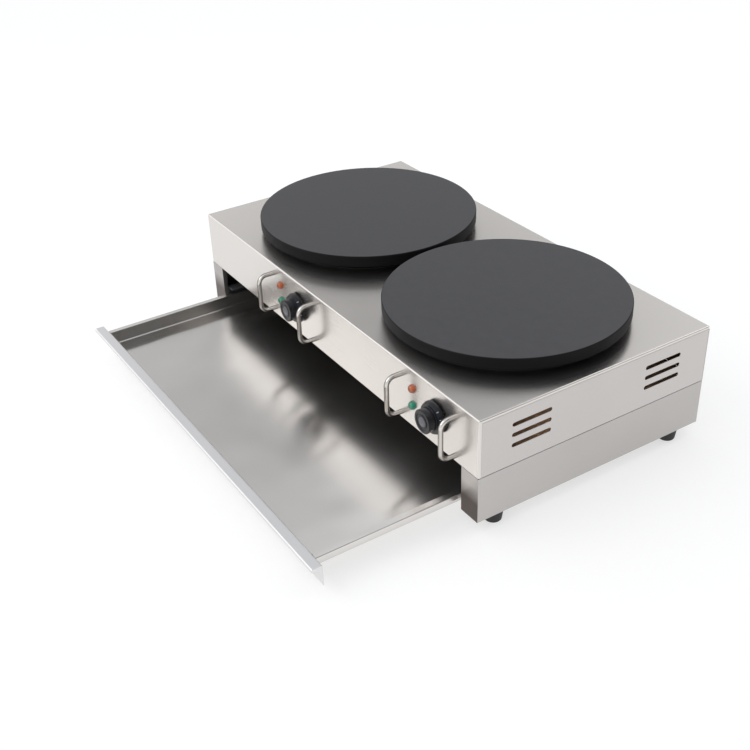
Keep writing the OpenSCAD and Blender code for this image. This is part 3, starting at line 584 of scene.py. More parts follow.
class Finishes:
    """Every material of the griddle, built once."""

    def __init__(self, painter: Painter) -> None:
        """Builds the materials.

        Args:
            painter: starts the materials.
        """
        along_x = (10.0, 2200.0, 2200.0)
        along_y = (2200.0, 10.0, 2200.0)
        upright, level = (0.0, 0.0, 1.0), (0.0, 1.0, 0.0)
        side = SheetFinish("satin_side_sheet", (0.60, 0.575, 0.56), (0.57, 0.545, 0.53),
                           0.3, 0.06, along_y, across=upright, directional=0.5)
        self.side = side.make(painter)
        # The rear panel's inner face carries a painted brownish shade.
        self.rear = replace(side, name="satin_rear_sheet", stretch=along_x, across=None,
                            front_plane=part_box("rear_panel")[0].y, painted_shade_tint=(0.36, 0.28, 0.23),
                            front_heights=(0.4, 0.3)).make(painter)
        self.case = SheetFinish("satin_case_sheet", (0.735, 0.705, 0.675), (0.70, 0.67, 0.64),
                                0.25, 0.05, along_x, across=level, directional=0.5).make(painter)
        # The front faces of the base's posts carry a painted shade, darkest low down.
        self.base = SheetFinish("satin_base_sheet", (0.53, 0.51, 0.495), (0.48, 0.46, 0.445),
                                0.33, 0.06, along_y, front_plane=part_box("base_shell")[0].y).make(painter)
        self.tray = SheetFinish("smooth_tray_sheet", (0.74, 0.715, 0.69), (0.69, 0.67, 0.65),
                                0.2, 0.04, along_x, 0.001 * MM, marks=0.5, across=level,
                                directional=0.8, slope=0.035, wave=0.003).make(painter)
        self.pull = SheetFinish("satin_pull_sheet", (0.78, 0.775, 0.78), (0.74, 0.735, 0.74),
                                0.42, 0.06, along_x).make(painter)
        self.zinc = SheetFinish("zinc_coated_sheet", (0.46, 0.47, 0.49), (0.30, 0.31, 0.33),
                                0.48, 0.18, (60.0, 60.0, 60.0), 0.01 * MM, metallic=0.9).make(painter)
        self.pan = PanFinish(*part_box("bottom_pan")).make(painter)
        self.iron = CastFinish().make(painter)
        self.enamel = SkinFinish("black_enamel", (0.006, 0.006, 0.006), (0.012, 0.012, 0.012),
                                 0.55, 900.0).make(painter)
        self.tube = SheetFinish("oxidised_heater_tube", (0.20, 0.15, 0.13), (0.11, 0.10, 0.11),
                                0.5, 0.2, (90.0, 90.0, 90.0), 0.01 * MM, metallic=0.8).make(painter)
        self.fibre = SkinFinish("ceramic_fibre", (0.55, 0.50, 0.42), (0.72, 0.67, 0.58),
                                0.95, 500.0, 0.0006, 0.1).make(painter)
        self.bright = RodFinish("bright_fastener", (0.66, 0.66, 0.67), (0.52, 0.52, 0.54), 0.26).make(painter)
        # The rod's flanks carry a painted dark reflection.
        self.rod = RodFinish("polished_rod", (0.76, 0.73, 0.69), (0.66, 0.63, 0.60), 0.13,
                             rim=(0.055, 0.042, 0.034)).make(painter)
        self.knob = SkinFinish("black_moulded_knob", (0.004, 0.0045, 0.007), (0.008, 0.009, 0.014),
                               0.22, 1500.0, 0.00003, 0.32, 0.05).make(painter)
        self.scale = SkinFinish("white_scale_paint", (0.50, 0.52, 0.56), (0.66, 0.68, 0.72),
                                0.5, 2500.0).make(painter)
        self.cap = RodFinish("bright_cap", (0.20, 0.20, 0.22), (0.13, 0.13, 0.15), 0.32).make(painter)
        self.switch_case = SkinFinish("cream_switch_case", (0.62, 0.58, 0.46), (0.72, 0.68, 0.56),
                                      0.4).make(painter)
        self.copper = RodFinish("copper_capillary", (0.72, 0.40, 0.26), (0.52, 0.27, 0.17),
                                0.34).make(painter)
        self.red_lens = LensFinish("orange_red_lens", (0.13, 0.016, 0.004), (0.50, 0.12, 0.035),
                                   0.16).make(painter)
        self.green_lens = LensFinish("green_lens", (0.001, 0.055, 0.033), (0.012, 0.30, 0.18),
                                     0.12).make(painter)
        self.lamp = SkinFinish("white_lamp_body", (0.66, 0.65, 0.60), (0.76, 0.75, 0.70), 0.4).make(painter)
        self.rubber = SkinFinish("black_rubber", (0.010, 0.010, 0.010), (0.020, 0.020, 0.020),
                                 0.6, 1200.0, 0.00008).make(painter)
        self.ceramic = SkinFinish("white_ceramic", (0.66, 0.64, 0.58), (0.76, 0.74, 0.68), 0.35).make(painter)
        self.gland = SkinFinish("black_gland", (0.014, 0.014, 0.015), (0.026, 0.026, 0.028),
                                0.45, 1500.0).make(painter)
        self.brass = RodFinish("plain_brass", (0.78, 0.58, 0.27), (0.60, 0.43, 0.19), 0.3).make(painter)


# ------------------------------------------------------------------ mesh tools


def filleted(points: Sequence[Corner], steps: int = 4, closed: bool = False) -> list[Point2]:
    """Rounds the corners of a line.

    Args:
        points: each corner's two coordinates and its radius.
        steps: number of short stretches in each rounded corner.
        closed: whether the last point joins the first.

    Returns:
        The line with arcs in place of its corners.
    """
    line: list[Point2] = []
    count = len(points)
    for index, (x, y, radius) in enumerate(points):
        ends = not closed and index in (0, count - 1)
        if ends or radius <= 0:
            line.append((x, y))
            continue
        here = Vector((x, y))
        before = Vector(points[index - 1][:2]) - here
        after = Vector(points[(index + 1) % count][:2]) - here
        before.normalize()
        after.normalize()
        half = before.angle(after) / 2
        reach = radius / math.tan(half)
        centre = here + (before + after).normalized() * (radius / math.sin(half))
        start = here + before * reach - centre
        end = here + after * reach - centre
        for step in range(steps + 1):
            spoke = start.lerp(end, step / steps).normalized() * radius
            line.append(tuple(centre + spoke))
    return line


def lathed(profile: Sequence[Point2], segments: int = 96,
           radius_at: Callable[[float, float, float], float] | None = None) -> bmesh.types.BMesh:
    """Turns a profile round the Z axis.

    Args:
        profile: radius and height of each point, from one end to the other.
        segments: number of steps round the axis.
        radius_at: optional change of a radius, from the radius, the height and the angle.

    Returns:
        The turned mesh.
    """
    mesh = bmesh.new()
    rings: list[list[bmesh.types.BMVert]] = []
    for radius, height in profile:
        if radius < 1e-7:
            rings.append([mesh.verts.new((0.0, 0.0, height))])
            continue
        ring = []
        for index in range(segments):
            angle = 2 * math.pi * index / segments
            at = radius_at(radius, height, angle) if radius_at else radius
            ring.append(mesh.verts.new((at * math.cos(angle), at * math.sin(angle), height)))
        rings.append(ring)
    for first, second in zip(rings, rings[1:]):
        for index in range(segments):
            following = (index + 1) % segments
            corners = [first[index % len(first)], first[following % len(first)],
                       second[following % len(second)], second[index % len(second)]]
            unique = list(dict.fromkeys(corners))
            if len(unique) > 2:
                mesh.faces.new(unique)
    bmesh.ops.recalc_face_normals(mesh, faces=mesh.faces)
    return mesh


def swept(path: Sequence[Vector], radius: float, sides: int) -> bmesh.types.BMesh:
    """Sweeps a round section along a path in one plane.

    Args:
        path: points of the middle line.
        radius: the section's radius.
        sides: number of sides of the section.

    Returns:
        The swept mesh, closed at both ends.
    """
    mesh = bmesh.new()
    rings = []
    across = (path[1] - path[0]).cross(path[-1] - path[0] + Vector((0.0, 0.0, 1e-6))).normalized()
    for index, point in enumerate(path):
        behind = path[max(index - 1, 0)]
        ahead = path[min(index + 1, len(path) - 1)]
        along = (ahead - behind).normalized()
        other = along.cross(across).normalized()
        rings.append([mesh.verts.new(point + radius * (math.cos(a) * across + math.sin(a) * other))
                      for a in (2 * math.pi * k / sides for k in range(sides))])
    for first, second in zip(rings, rings[1:]):
        for k in range(sides):
            n = (k + 1) % sides
            mesh.faces.new((first[k], first[n], second[n], second[k]))
    mesh.faces.new(rings[0])
    mesh.faces.new(list(reversed(rings[-1])))
    bmesh.ops.recalc_face_normals(mesh, faces=mesh.faces)
    return mesh


def linked(name: str, data: bpy.types.ID) -> bpy.types.Object:
    """Makes an object of its data and links it to the scene."""
    obj = bpy.data.objects.new(name, data)
    bpy.context.scene.collection.objects.link(obj)
    return obj


def underside(node: str) -> Vector:
    """The middle of the underside of a node's box."""
    low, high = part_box(node)
    return Vector(((low.x + high.x) / 2, (low.y + high.y) / 2, low.z))


def block(low: Vector, high: Vector) -> bmesh.types.BMesh:
    """A plain block between two corners."""
    mesh = bmesh.new()
    bmesh.ops.create_cube(mesh, size=1.0)
    middle, size = (low + high) / 2, high - low
    for vert in mesh.verts:
        vert.co = Vector(c * s for c, s in zip(vert.co, size)) + middle
    return mesh


def slab(low: Vector, high: Vector, ease: float, segments: int) -> bmesh.types.BMesh:
    """A block between two corners with eased edges."""
    mesh = block(low, high)
    bmesh.ops.bevel(mesh, geom=list(mesh.edges), offset=ease, segments=segments,
                    profile=0.5, affect="EDGES")
    return mesh


def merged(parts: Sequence[bmesh.types.BMesh]) -> bmesh.types.BMesh:
    """Joins meshes into the first one."""
    whole = parts[0]
    for part in parts[1:]:
        data = bpy.data.meshes.new("joined")
        part.to_mesh(data)
        part.free()
        whole.from_mesh(data)
        bpy.data.meshes.remove(data)
    return whole


@dataclass
class Maker:
    """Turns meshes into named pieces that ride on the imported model."""

    frame: dict
    made: int = 0

    def piece(self, name: str, mesh: bmesh.types.BMesh, material: bpy.types.Material, body: Body,
              replaces: Sequence[str] = (), slot: str | None = None, at: Vector | None = None,
              turn: Matrix | None = None, smooth: float = 35.0) -> bpy.types.Object:
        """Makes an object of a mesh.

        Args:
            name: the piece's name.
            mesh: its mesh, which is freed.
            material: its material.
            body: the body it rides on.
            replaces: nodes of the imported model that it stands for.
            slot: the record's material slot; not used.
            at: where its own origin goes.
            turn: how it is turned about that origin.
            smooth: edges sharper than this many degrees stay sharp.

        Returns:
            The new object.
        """
        data = bpy.data.meshes.new(name)
        mesh.to_mesh(data)
        mesh.free()
        data.shade_smooth()
        data.set_sharp_from_angle(angle=math.radians(smooth))
        data.materials.append(material)
        obj = linked(name, data)
        obj.matrix_world = Matrix.Translation(at or Vector()) @ (turn or Matrix.Identity(4))
        self.applied(obj, smooth)
        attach(obj, body.value)
        if replaces:
            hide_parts(*replaces)
        self.made += 1
        LOG.info("piece %s: %d faces, on %s", name, len(data.polygons), body.value)
        return obj

    def thickened(self, obj: bpy.types.Object, thickness: float, offset: float) -> None:
        """Gives a surface its sheet thickness and applies it.

        Args:
            obj: the piece.
            thickness: the sheet's thickness.
            offset: -1 thickens inwards, 0 both ways, 1 outwards.
        """
        modifier = obj.modifiers.new("sheet", "SOLIDIFY")
        modifier.thickness = thickness
        modifier.offset = offset
        modifier.use_even_offset = True
        self.applied(obj)

    def applied(self, obj: bpy.types.Object, smooth: float = 35.0) -> None:
        """Applies a piece's modifiers, then sets its sharp edges and keeps its flat faces flat."""
        for shaded in (False, True):
            if shaded:
                obj.data.shade_smooth()
                obj.data.set_sharp_from_angle(angle=math.radians(smooth))
                normals = obj.modifiers.new("normals", "WEIGHTED_NORMAL")
                normals.keep_sharp = True
                normals.weight = 50
            if not obj.modifiers:
                continue
            graph = bpy.context.evaluated_depsgraph_get()
            data = bpy.data.meshes.new_from_object(obj.evaluated_get(graph))
            obj.modifiers.clear()
            obj.data = data

    def eased_copy(self, node: str, material: bpy.types.Material, body: Body, slot: str,
                   ease: float = 0.4 * MM, shortest: float = 6 * MM) -> bpy.types.Object:
        """A copy of a sheet part with its long sharp edges eased, which stands for it.

        Args:
            node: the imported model's node.
            material: its material.
            body: the body it rides on.
            slot: the record's material slot.
            ease: how far each edge is eased.
            shortest: edges shorter than this stay as they are.

        Returns:
            The new piece.
        """
        mesh = bmesh.new()
        mesh.from_mesh(self.frame["nodes"][node].data)
        bmesh.ops.remove_doubles(mesh, verts=mesh.verts, dist=1e-6)
        bmesh.ops.dissolve_limit(mesh, angle_limit=math.radians(0.6), verts=mesh.verts, edges=mesh.edges)
        edges = [e for e in mesh.edges if len(e.link_faces) == 2 and e.calc_length() > shortest
                 and e.calc_face_angle() > math.radians(40)]
        bmesh.ops.bevel(mesh, geom=edges, offset=ease, segments=2, profile=0.5, affect="EDGES",
                        clamp_overlap=False)
        return self.piece(f"{node}_sheet", mesh, material, body, [node], slot)

    def dress(self, nodes: Sequence[str], material: bpy.types.Material) -> None:
        """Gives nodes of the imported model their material.

        Args:
            nodes: names of the nodes.
            material: their material.
        """
        for name in nodes:
            data = self.frame["nodes"][name].data
            data.materials.clear()
            data.materials.append(material)
            LOG.info("node %s dressed in %s", name, material.name)


FACE_FRONT = Matrix.Rotation(math.radians(90), 4, "X")


# ------------------------------------------------------------------ the griddle's parts


@dataclass
class UpperCasing:
    """The folded top sheet with the front panel, the sides, the back and what is inside."""

    maker: Maker
    finishes: Finishes
    sheet: float = 1.2 * MM
    fold: float = 2.2 * MM
    lip: float = 5 * MM
    well_radius: float = 165 * MM
    cut_depth: float = 4 * MM

    def build(self) -> None:
        """Builds the casing."""
        self._top_cover()
        self.maker.dress([f"side_panel_{side.value}" for side in Side], self.finishes.side)
        self.maker.dress(["rear_panel"], self.finishes.rear)
        self.maker.dress(["bottom_pan"], self.finishes.pan)
        self.maker.dress(["centre_divider"], self.finishes.zinc)

    def _top_cover(self) -> None:
        """The top sheet, folded round all its edges, with the front panel below it."""
        low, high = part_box("top_cover")
        mesh = block(low, high)
        bottom = [f for f in mesh.faces if f.normal.z < -0.5]
        bmesh.ops.delete(mesh, geom=bottom, context="FACES")
        edges = [e for e in mesh.edges if len(e.link_faces) == 2]
        bmesh.ops.bevel(mesh, geom=edges, offset=self.fold, segments=5, profile=0.5, affect="EDGES")
        for point, normal in ((Vector((0, 0, high.z - self.lip)), Vector((0, 0, 1))),
                              (Vector((0, low.y + self.lip, 0)), Vector((0, 1, 0)))):
            bmesh.ops.bisect_plane(mesh, geom=list(mesh.verts) + list(mesh.edges) + list(mesh.faces),
                                   plane_co=point, plane_no=normal)
        below = [f for f in mesh.faces if f.calc_center_median().z < high.z - self.lip
                 and f.calc_center_median().y > low.y + self.lip]
        bmesh.ops.delete(mesh, geom=below, context="FACES")
        cover = self.maker.piece("top_cover_sheet", mesh, self.finishes.case, Body.CABINET,
                                 ["top_cover"], "steel_case")
        self.maker.thickened(cover, self.sheet, -1.0)
        self._cut_wells(cover, high.z)

    def _cut_wells(self, cover: bpy.types.Object, top: float) -> None:
        """Cuts the two round wells through the top sheet.

        Args:
            cover: the top sheet.
            top: height of its upper face.
        """
        cutters = []
        for side in Side:
            centre = underside(f"plate_{side.value}")
            radius, deep = self.well_radius, self.cut_depth
            disc = lathed([(0, -deep), (radius, -deep), (radius, deep), (0, deep)])
            data = bpy.data.meshes.new("well_cut")
            disc.to_mesh(data)
            disc.free()
            cutter = linked("well_cut", data)
            cutter.location = (centre.x, centre.y, top)
            modifier = cover.modifiers.new("well", "BOOLEAN")
            modifier.operation = "DIFFERENCE"
            modifier.solver = "EXACT"
            modifier.object = cutter
            cutters.append(cutter)
        bpy.context.view_layer.update()
        self.maker.applied(cover)
        for cutter in cutters:
            bpy.data.objects.remove(cutter)


@dataclass
class LowerBase:
    """The open frame under the casing, the drawer's rails and the feet."""

    maker: Maker
    finishes: Finishes
    tread_round: float = 3 * MM
    taper: float = 3.5 * MM
    bore: float = 7 * MM
    bore_depth: float = 8 * MM
    collar: float = 2.4 * MM
    collar_step: float = 0.7 * MM
    collar_slope: float = 0.6 * MM

    def build(self) -> None:
        """Builds the base."""
        self.maker.eased_copy("base_shell", self.finishes.base, Body.CABINET, "steel_base")
        for side in Side:
            self.maker.eased_copy(f"rail_{side.value}", self.finishes.zinc, Body.CABINET, "zinc_sheet",
                                  0.3 * MM)
        self.maker.dress(["rail_rivets", "foot_screws"], self.finishes.bright)
        for end in ("front", "rear"):
            for side in Side:
                self._foot(f"foot_{end}_{side.value}")

    def _foot(self, node: str) -> None:
        """A rubber foot: a cone with a rounded tread, a recess and a thin moulded collar.

        Args:
            node: the foot's node.
        """
        low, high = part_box(node)
        top = high.z - low.z
        wide = (high.x - low.x) / 2
        tread = wide - self.taper
        profile = filleted([
            (0.0, self.bore_depth, 0), (self.bore, self.bore_depth, 0.4 * MM), (self.bore, 0, 0.6 * MM),
            (tread, 0, self.tread_round),
            (wide - self.collar_step, top - self.collar - self.collar_slope, 0.6 * MM),
            (wide, top - self.collar, 0.5 * MM), (wide, top, 0.5 * MM), (0.0, top, 0)])
        self.maker.piece(f"{node}_rubber", lathed(profile, 64), self.finishes.rubber, Body.CABINET,
                         [node], "rubber_foot", underside(node))


@dataclass
class Drawer:
    """The drip tray with its folded rim, and the front panel with its pull lip."""

    maker: Maker
    finishes: Finishes
    tray_sheet: float = 1 * MM
    front_sheet: float = 1.2 * MM
    bend: float = 2.4 * MM
    corner: float = 1.5 * MM
    rim: float = 11 * MM
    rim_bend: float = 1.3 * MM
    lip_bend: float = 1.6 * MM
    hem: float = 8 * MM
    ear: float = 8 * MM
    pull_drop: float = 5.5 * MM

    def build(self) -> None:
        """Builds the drawer."""
        self._tray()
        self._front()
        self.maker.dress(["drawer_rivets"], self.finishes.bright)

    def _tray(self) -> None:
        """The basin with rounded bends, the rim with its hem, and the two rear ears."""
        low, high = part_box("drawer_tray")
        half = self.tray_sheet / 2
        rim_x = high.x - self.ear
        wall_x = rim_x - self.rim - half
        back_y = high.y - self.rim - half
        front_y = low.y + half
        top_z, floor_z = high.z - half, low.z + half
        mesh = bmesh.new()
        # the basin: rectangles from the middle of the floor out to the top of the walls
        section = filleted([(200 * MM, floor_z, 0), (0.0, floor_z, self.bend), (0.0, top_z, 0)], 5)
        loops = []
        for inset, height in section[1:]:
            loops.append([mesh.verts.new((x, y, height)) for x, y in self._rounded(
                -wall_x + inset, wall_x - inset, front_y + inset, back_y - inset)])
        for inner, outer in zip(loops, loops[1:]):
            for k in range(len(inner)):
                n = (k + 1) % len(inner)
                mesh.faces.new((inner[k], inner[n], outer[n], outer[k]))
        mesh.faces.new(loops[0])
        # the rim and its hem, along the left side, the back and the right side
        reach = self.rim - half
        edge = filleted([(0.0, top_z, 0), (reach, top_z, self.rim_bend), (reach, high.z - self.hem, 0)], 4)
        rows = []
        for out, height in edge:
            rows.append([mesh.verts.new(c) for c in (
                (-wall_x - out, front_y, height), (-wall_x - out, back_y + out, height),
                (wall_x + out, back_y + out, height), (wall_x + out, front_y, height))])
        for inner, outer in zip(rows, rows[1:]):
            for k in range(3):
                mesh.faces.new((inner[k], inner[k + 1], outer[k + 1], outer[k]))
        bmesh.ops.recalc_face_normals(mesh, faces=mesh.faces)
        tray = self.maker.piece("drawer_tray_sheet", mesh, self.finishes.tray, Body.DRAWER,
                                ["drawer_tray"], "steel_tray")
        self.maker.thickened(tray, self.tray_sheet, 0.0)
        for sign, label in ((-1, "left"), (1, "right")):
            near, far = sorted((sign * (rim_x - half), sign * high.x))
            ear = slab(Vector((near, high.y - self.ear, high.z - self.hem + 1 * MM)),
                       Vector((far, high.y, high.z)), 0.8 * MM, 3)
            self.maker.piece(f"drawer_ear_{label}", ear, self.finishes.tray, Body.DRAWER, slot="steel_tray")

    def _rounded(self, x0: float, x1: float, y0: float, y1: float) -> list[Point2]:
        """A rectangle with small round corners, counter-clockwise."""
        radius = self.corner
        return filleted([(x0, y0, radius), (x1, y0, radius), (x1, y1, radius), (x0, y1, radius)], 3, True)

    def _front(self) -> None:
        """The front panel, bent forwards at its top and down again at the lip."""
        low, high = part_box("drawer_front")
        half = self.front_sheet / 2
        section = filleted([
            (high.y - half, low.z, 0), (high.y - half, high.z - half, self.lip_bend),
            (low.y + half, high.z - half, self.lip_bend), (low.y + half, high.z - self.pull_drop, 0)], 5)
        mesh = bmesh.new()
        left = [mesh.verts.new((low.x, y, z)) for y, z in section]
        right = [mesh.verts.new((high.x, y, z)) for y, z in section]
        for k in range(len(section) - 1):
            mesh.faces.new((left[k], right[k], right[k + 1], left[k + 1]))
        bmesh.ops.recalc_face_normals(mesh, faces=mesh.faces)
        front = self.maker.piece("drawer_front_sheet", mesh, self.finishes.pull, Body.DRAWER,
                                 ["drawer_front"], "steel_tray")
        self.maker.thickened(front, self.front_sheet, 0.0)


@dataclass
class CookingUnit:
    """One cast plate with its black ring, and the heater below it."""

    maker: Maker
    finishes: Finishes
    side: Side
    chamfer: float = 1.2 * MM
    recess: float = 8 * MM
    recess_radius: float = 161 * MM
    ring_inside: float = 169 * MM
    ring_wall: float = 1.2 * MM

    def build(self) -> None:
        """Builds the unit."""
        self._plate()
        self._ring()
        label = self.side.value
        self.maker.dress([f"element_{label}"], self.finishes.tube)
        self.maker.dress([f"element_clamp_{label}", f"heat_pan_{label}"], self.finishes.zinc)
        self.maker.dress([f"insulation_{label}"], self.finishes.fibre)
        self.maker.dress([f"plate_studs_{label}"], self.finishes.bright)

    def _plate(self) -> None:
        """The plate: flat top, eased upper rim, and a hollow below."""
        node = f"plate_{self.side.value}"
        low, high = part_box(node)
        radius = (high.y - low.y) / 2
        thick = high.z - low.z
        profile = filleted([
            (0.0, self.recess, 0), (self.recess_radius, self.recess, 1 * MM),
            (self.recess_radius, 0.0, 0.8 * MM), (radius, 0.0, 1.0 * MM),
            (radius, thick - self.chamfer, 0.9 * MM), (radius - self.chamfer, thick, 0.9 * MM),
            (0.0, thick, 0)], 5)
        wide = profile[-2][0]
        profile[-1:] = [(wide * share, thick) for share in (0.95, 0.7, 0.35, 0.0)]
        self.maker.piece(f"{node}_casting", lathed(profile, 192), self.finishes.iron, Body.CABINET,
                         [node], "cast_plate", underside(node), smooth=50)

    def _ring(self) -> None:
        """The pressed ring that carries the plate."""
        node = f"support_ring_{self.side.value}"
        low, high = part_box(node)
        centre = underside(f"plate_{self.side.value}")
        outer = (high.y - low.y) / 2
        inside, wall, top = self.ring_inside, self.ring_wall, high.z - low.z
        profile = filleted([
            (inside, 0, 0.2 * MM), (outer, 0, 0.4 * MM), (outer, wall, 0.4 * MM),
            (inside + wall, wall, 2 * MM), (inside + wall, top, 0.3 * MM), (inside, top, 0.3 * MM)], 4, True)
        profile.append(profile[0])
        self.maker.piece(f"{node}_pressing", lathed(profile, 160), self.finishes.enamel, Body.CABINET,
                         [node], "black_enamel", Vector((centre.x, centre.y, low.z)))


@dataclass
class ControlUnit:
    """One knob with its scale and cap, the lamps, and the thermostat behind them."""

    maker: Maker
    finishes: Finishes
    side: Side
    skirt_depth: float = 9 * MM
    skirt_slope: float = 2.5 * MM
    grip_radius: float = 19.5 * MM
    groove: tuple[float, float] = (11 * MM, 14.5 * MM)
    groove_depth: float = 1.2 * MM
    groove_slope: float = 0.5 * MM
    cap_seat: float = 8.25 * MM
    cap_depth: float = 1 * MM
    shaft_radius: float = 3.2 * MM
    hollow_depth: float = 5 * MM
    skirt_wall: float = 3 * MM
    skirt_edge: float = 3.6 * MM
    tick_count: int = 11
    long_tick: float = 3.4 * MM
    short_tick: float = 2.2 * MM
    scale_start: float = 130.0
    scale_sweep: float = 280.0
    bezel_step: float = 0.9 * MM
    bezel_height: float = 1.6 * MM
    flute_count: int = 16
    flute_depth: float = 0.035

    def build(self) -> None:
        """Builds the unit."""
        self._knob()
        self._cap()
        label = self.side.value
        self._lamp(f"lamp_red_{label}", self.finishes.red_lens, "lens_red")
        self._lamp(f"lamp_green_{label}", self.finishes.green_lens, "lens_green")
        self.maker.dress([f"thermostat_{label}"], self.finishes.switch_case)
        self.maker.dress([f"shaft_{label}"], self.finishes.bright)
        self.maker.dress([f"sensor_{label}"], self.finishes.copper)

    def _back_centre(self, node: str) -> Vector:
        """The middle of a node's face nearest to the panel."""
        low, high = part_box(node)
        return Vector(((low.x + high.x) / 2, high.y, (low.z + high.z) / 2))

    def _knob(self) -> None:
        """The moulded knob and the painted marks on its skirt."""
        node = f"knob_{self.side.value}"
        low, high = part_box(node)
        reach = high.y - low.y
        skirt = (high.x - low.x) / 2
        grip, inner, wall = self.grip_radius, self.shaft_radius, skirt - self.skirt_wall
        near, far = self.groove
        slope, groove_floor, cap_floor = self.groove_slope, reach - self.groove_depth, reach - self.cap_depth
        profile = filleted([
            (inner, self.hollow_depth, 0), (wall, self.hollow_depth, 0.5 * MM), (wall, 0, 0.3 * MM),
            (skirt, 0, 0.6 * MM), (skirt, self.skirt_edge, 0.8 * MM),
            (skirt - self.skirt_slope, self.skirt_depth, 0.9 * MM),
            (grip - 0.6 * MM, self.skirt_depth, 1.2 * MM), (grip, reach, 1.6 * MM),
            (far, reach, 0.4 * MM), (far - slope, groove_floor, 0.3 * MM),
            (near + slope, groove_floor, 0.3 * MM), (near, reach, 0.4 * MM),
            (self.cap_seat, reach, 0.2 * MM), (self.cap_seat, cap_floor, 0), (0.0, cap_floor, 0)], 5)
        at = self._back_centre(node)
        self.maker.piece(f"{node}_moulding", lathed(profile, 120), self.finishes.knob,
                         Body.control(self.side), [node], "knob_black", at, FACE_FRONT, 50)
        marks = [self._tick(index, skirt) for index in range(self.tick_count)]
        self.maker.piece(f"{node}_scale", merged(marks), self.finishes.scale, Body.control(self.side),
                         slot="lamp_white", at=at, turn=FACE_FRONT)

    def _tick(self, index: int, skirt: float) -> bmesh.types.BMesh:
        """One painted mark on the sloping skirt.

        Args:
            index: the mark's number.
            skirt: the skirt's radius.

        Returns:
            The mark's mesh.
        """
        rise = math.atan2(self.skirt_slope, self.skirt_depth - self.skirt_edge)
        length = self.short_tick if index % 5 else self.long_tick
        mesh = slab(Vector((-0.03 * MM, -0.35 * MM, -length / 2)), Vector((0.06 * MM, 0.35 * MM, length / 2)),
                    0.02 * MM, 1)
        angle = math.radians(self.scale_start + index * self.scale_sweep / (self.tick_count - 1))
        place = (Matrix.Rotation(angle, 4, "Z")
                 @ Matrix.Translation((skirt - self.skirt_slope / 2 - 0.02 * MM, 0,
                                       (self.skirt_depth + self.skirt_edge) / 2))
                 @ Matrix.Rotation(-rise, 4, "Y"))
        mesh.transform(place)
        return mesh

    def _cap(self) -> None:
        """The bright cap in the knob's face, slightly domed."""
        node = f"knob_cap_{self.side.value}"
        low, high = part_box(node)
        radius, thick = (high.x - low.x) / 2, high.y - low.y
        profile = filleted([(0.0, 0.0, 0), (radius, 0.0, 0.1 * MM), (radius, thick - 0.35 * MM, 0.4 * MM),
                            (radius * 0.55, thick - 0.05 * MM, 3 * MM), (0.0, thick, 0)], 4)
        self.maker.piece(f"{node}_disc", lathed(profile, 64), self.finishes.cap, Body.control(self.side),
                         [node], "cap_silver", self._back_centre(node), FACE_FRONT)

    def _lamp(self, node: str, material: bpy.types.Material, slot: str) -> None:
        """A lamp lens: a bezel, a fluted side and a domed end.

        Args:
            node: the lens's node.
            material: the lens's material.
            slot: the record's material slot.
        """
        low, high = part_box(node)
        bezel, reach = (high.x - low.x) / 2, high.y - low.y
        lens, base = bezel - self.bezel_step, self.bezel_height

        def fluted(radius: float, height: float, angle: float) -> float:
            """Narrows the lens's side between its flutes."""
            if height < base + 0.1 * MM or radius < lens * 0.7:
                return radius
            return radius * (1 - self.flute_depth * (0.5 + 0.5 * math.cos(self.flute_count * angle)))

        profile = filleted([
            (0.0, 0.0, 0), (bezel, 0.0, 0.2 * MM), (bezel, base, 0.5 * MM), (lens, base, 0.2 * MM),
            (lens, reach - 2.6 * MM, 1.2 * MM), (lens * 0.72, reach - 0.6 * MM, 2 * MM), (0.0, reach, 0)], 5)
        self.maker.piece(f"{node}_lens", lathed(profile, 96, fluted), material, Body.CABINET,
                         [node], slot, self._back_centre(node), FACE_FRONT, 50)


@dataclass
class GuardHandles:
    """The four bent rods in front of the controls."""

    maker: Maker
    finishes: Finishes
    count: int = 4
    bend: float = 14 * MM

    def build(self) -> None:
        """Builds the handles and dresses their screws."""
        for number in range(1, self.count + 1):
            self._handle(f"handle_{number}")
        self.maker.dress(["handle_screws"], self.finishes.bright)

    def _handle(self, node: str) -> None:
        """One rod: two legs, two bends and the upright grip.

        Args:
            node: the handle's node.
        """
        low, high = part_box(node)
        radius = (high.x - low.x) / 2
        x = (low.x + high.x) / 2
        top, bottom, grip = high.z - radius, low.z + radius, low.y + radius
        line = filleted([(high.y, top, 0), (grip, top, self.bend), (grip, bottom, self.bend),
                         (high.y, bottom, 0)], 14)
        path = [Vector((x, y, z)) for y, z in line]
        self.maker.piece(f"{node}_rod", swept(path, radius, 32), self.finishes.rod, Body.CABINET,
                         [node], "rod_steel", smooth=60)


@dataclass
class ElectricalFittings:
    """Gland, bonding stud, terminal block, lamp bodies and the casing's screws."""

    maker: Maker
    finishes: Finishes

    def build(self) -> None:
        """Dresses the fittings."""
        self.maker.dress(["cable_gland"], self.finishes.gland)
        self.maker.dress(["bond_stud"], self.finishes.brass)
        self.maker.dress(["terminal_block"], self.finishes.ceramic)
        self.maker.dress(["lamp_bodies"], self.finishes.lamp)
        self.maker.dress(["casing_screws"], self.finishes.bright)


@dataclass(frozen=True)
class SoftSpot:
    """A softly lighter or darker place in the surroundings, in degrees from +Y towards +X."""

    azimuth: float
    elevation: float
    wide: float
    high: float
    change: float


@dataclass(frozen=True)
class SoftBox:
    """A square area light that faces the griddle."""

    name: str
    place: Corner
    size: float
    power: float
    colour: Colour


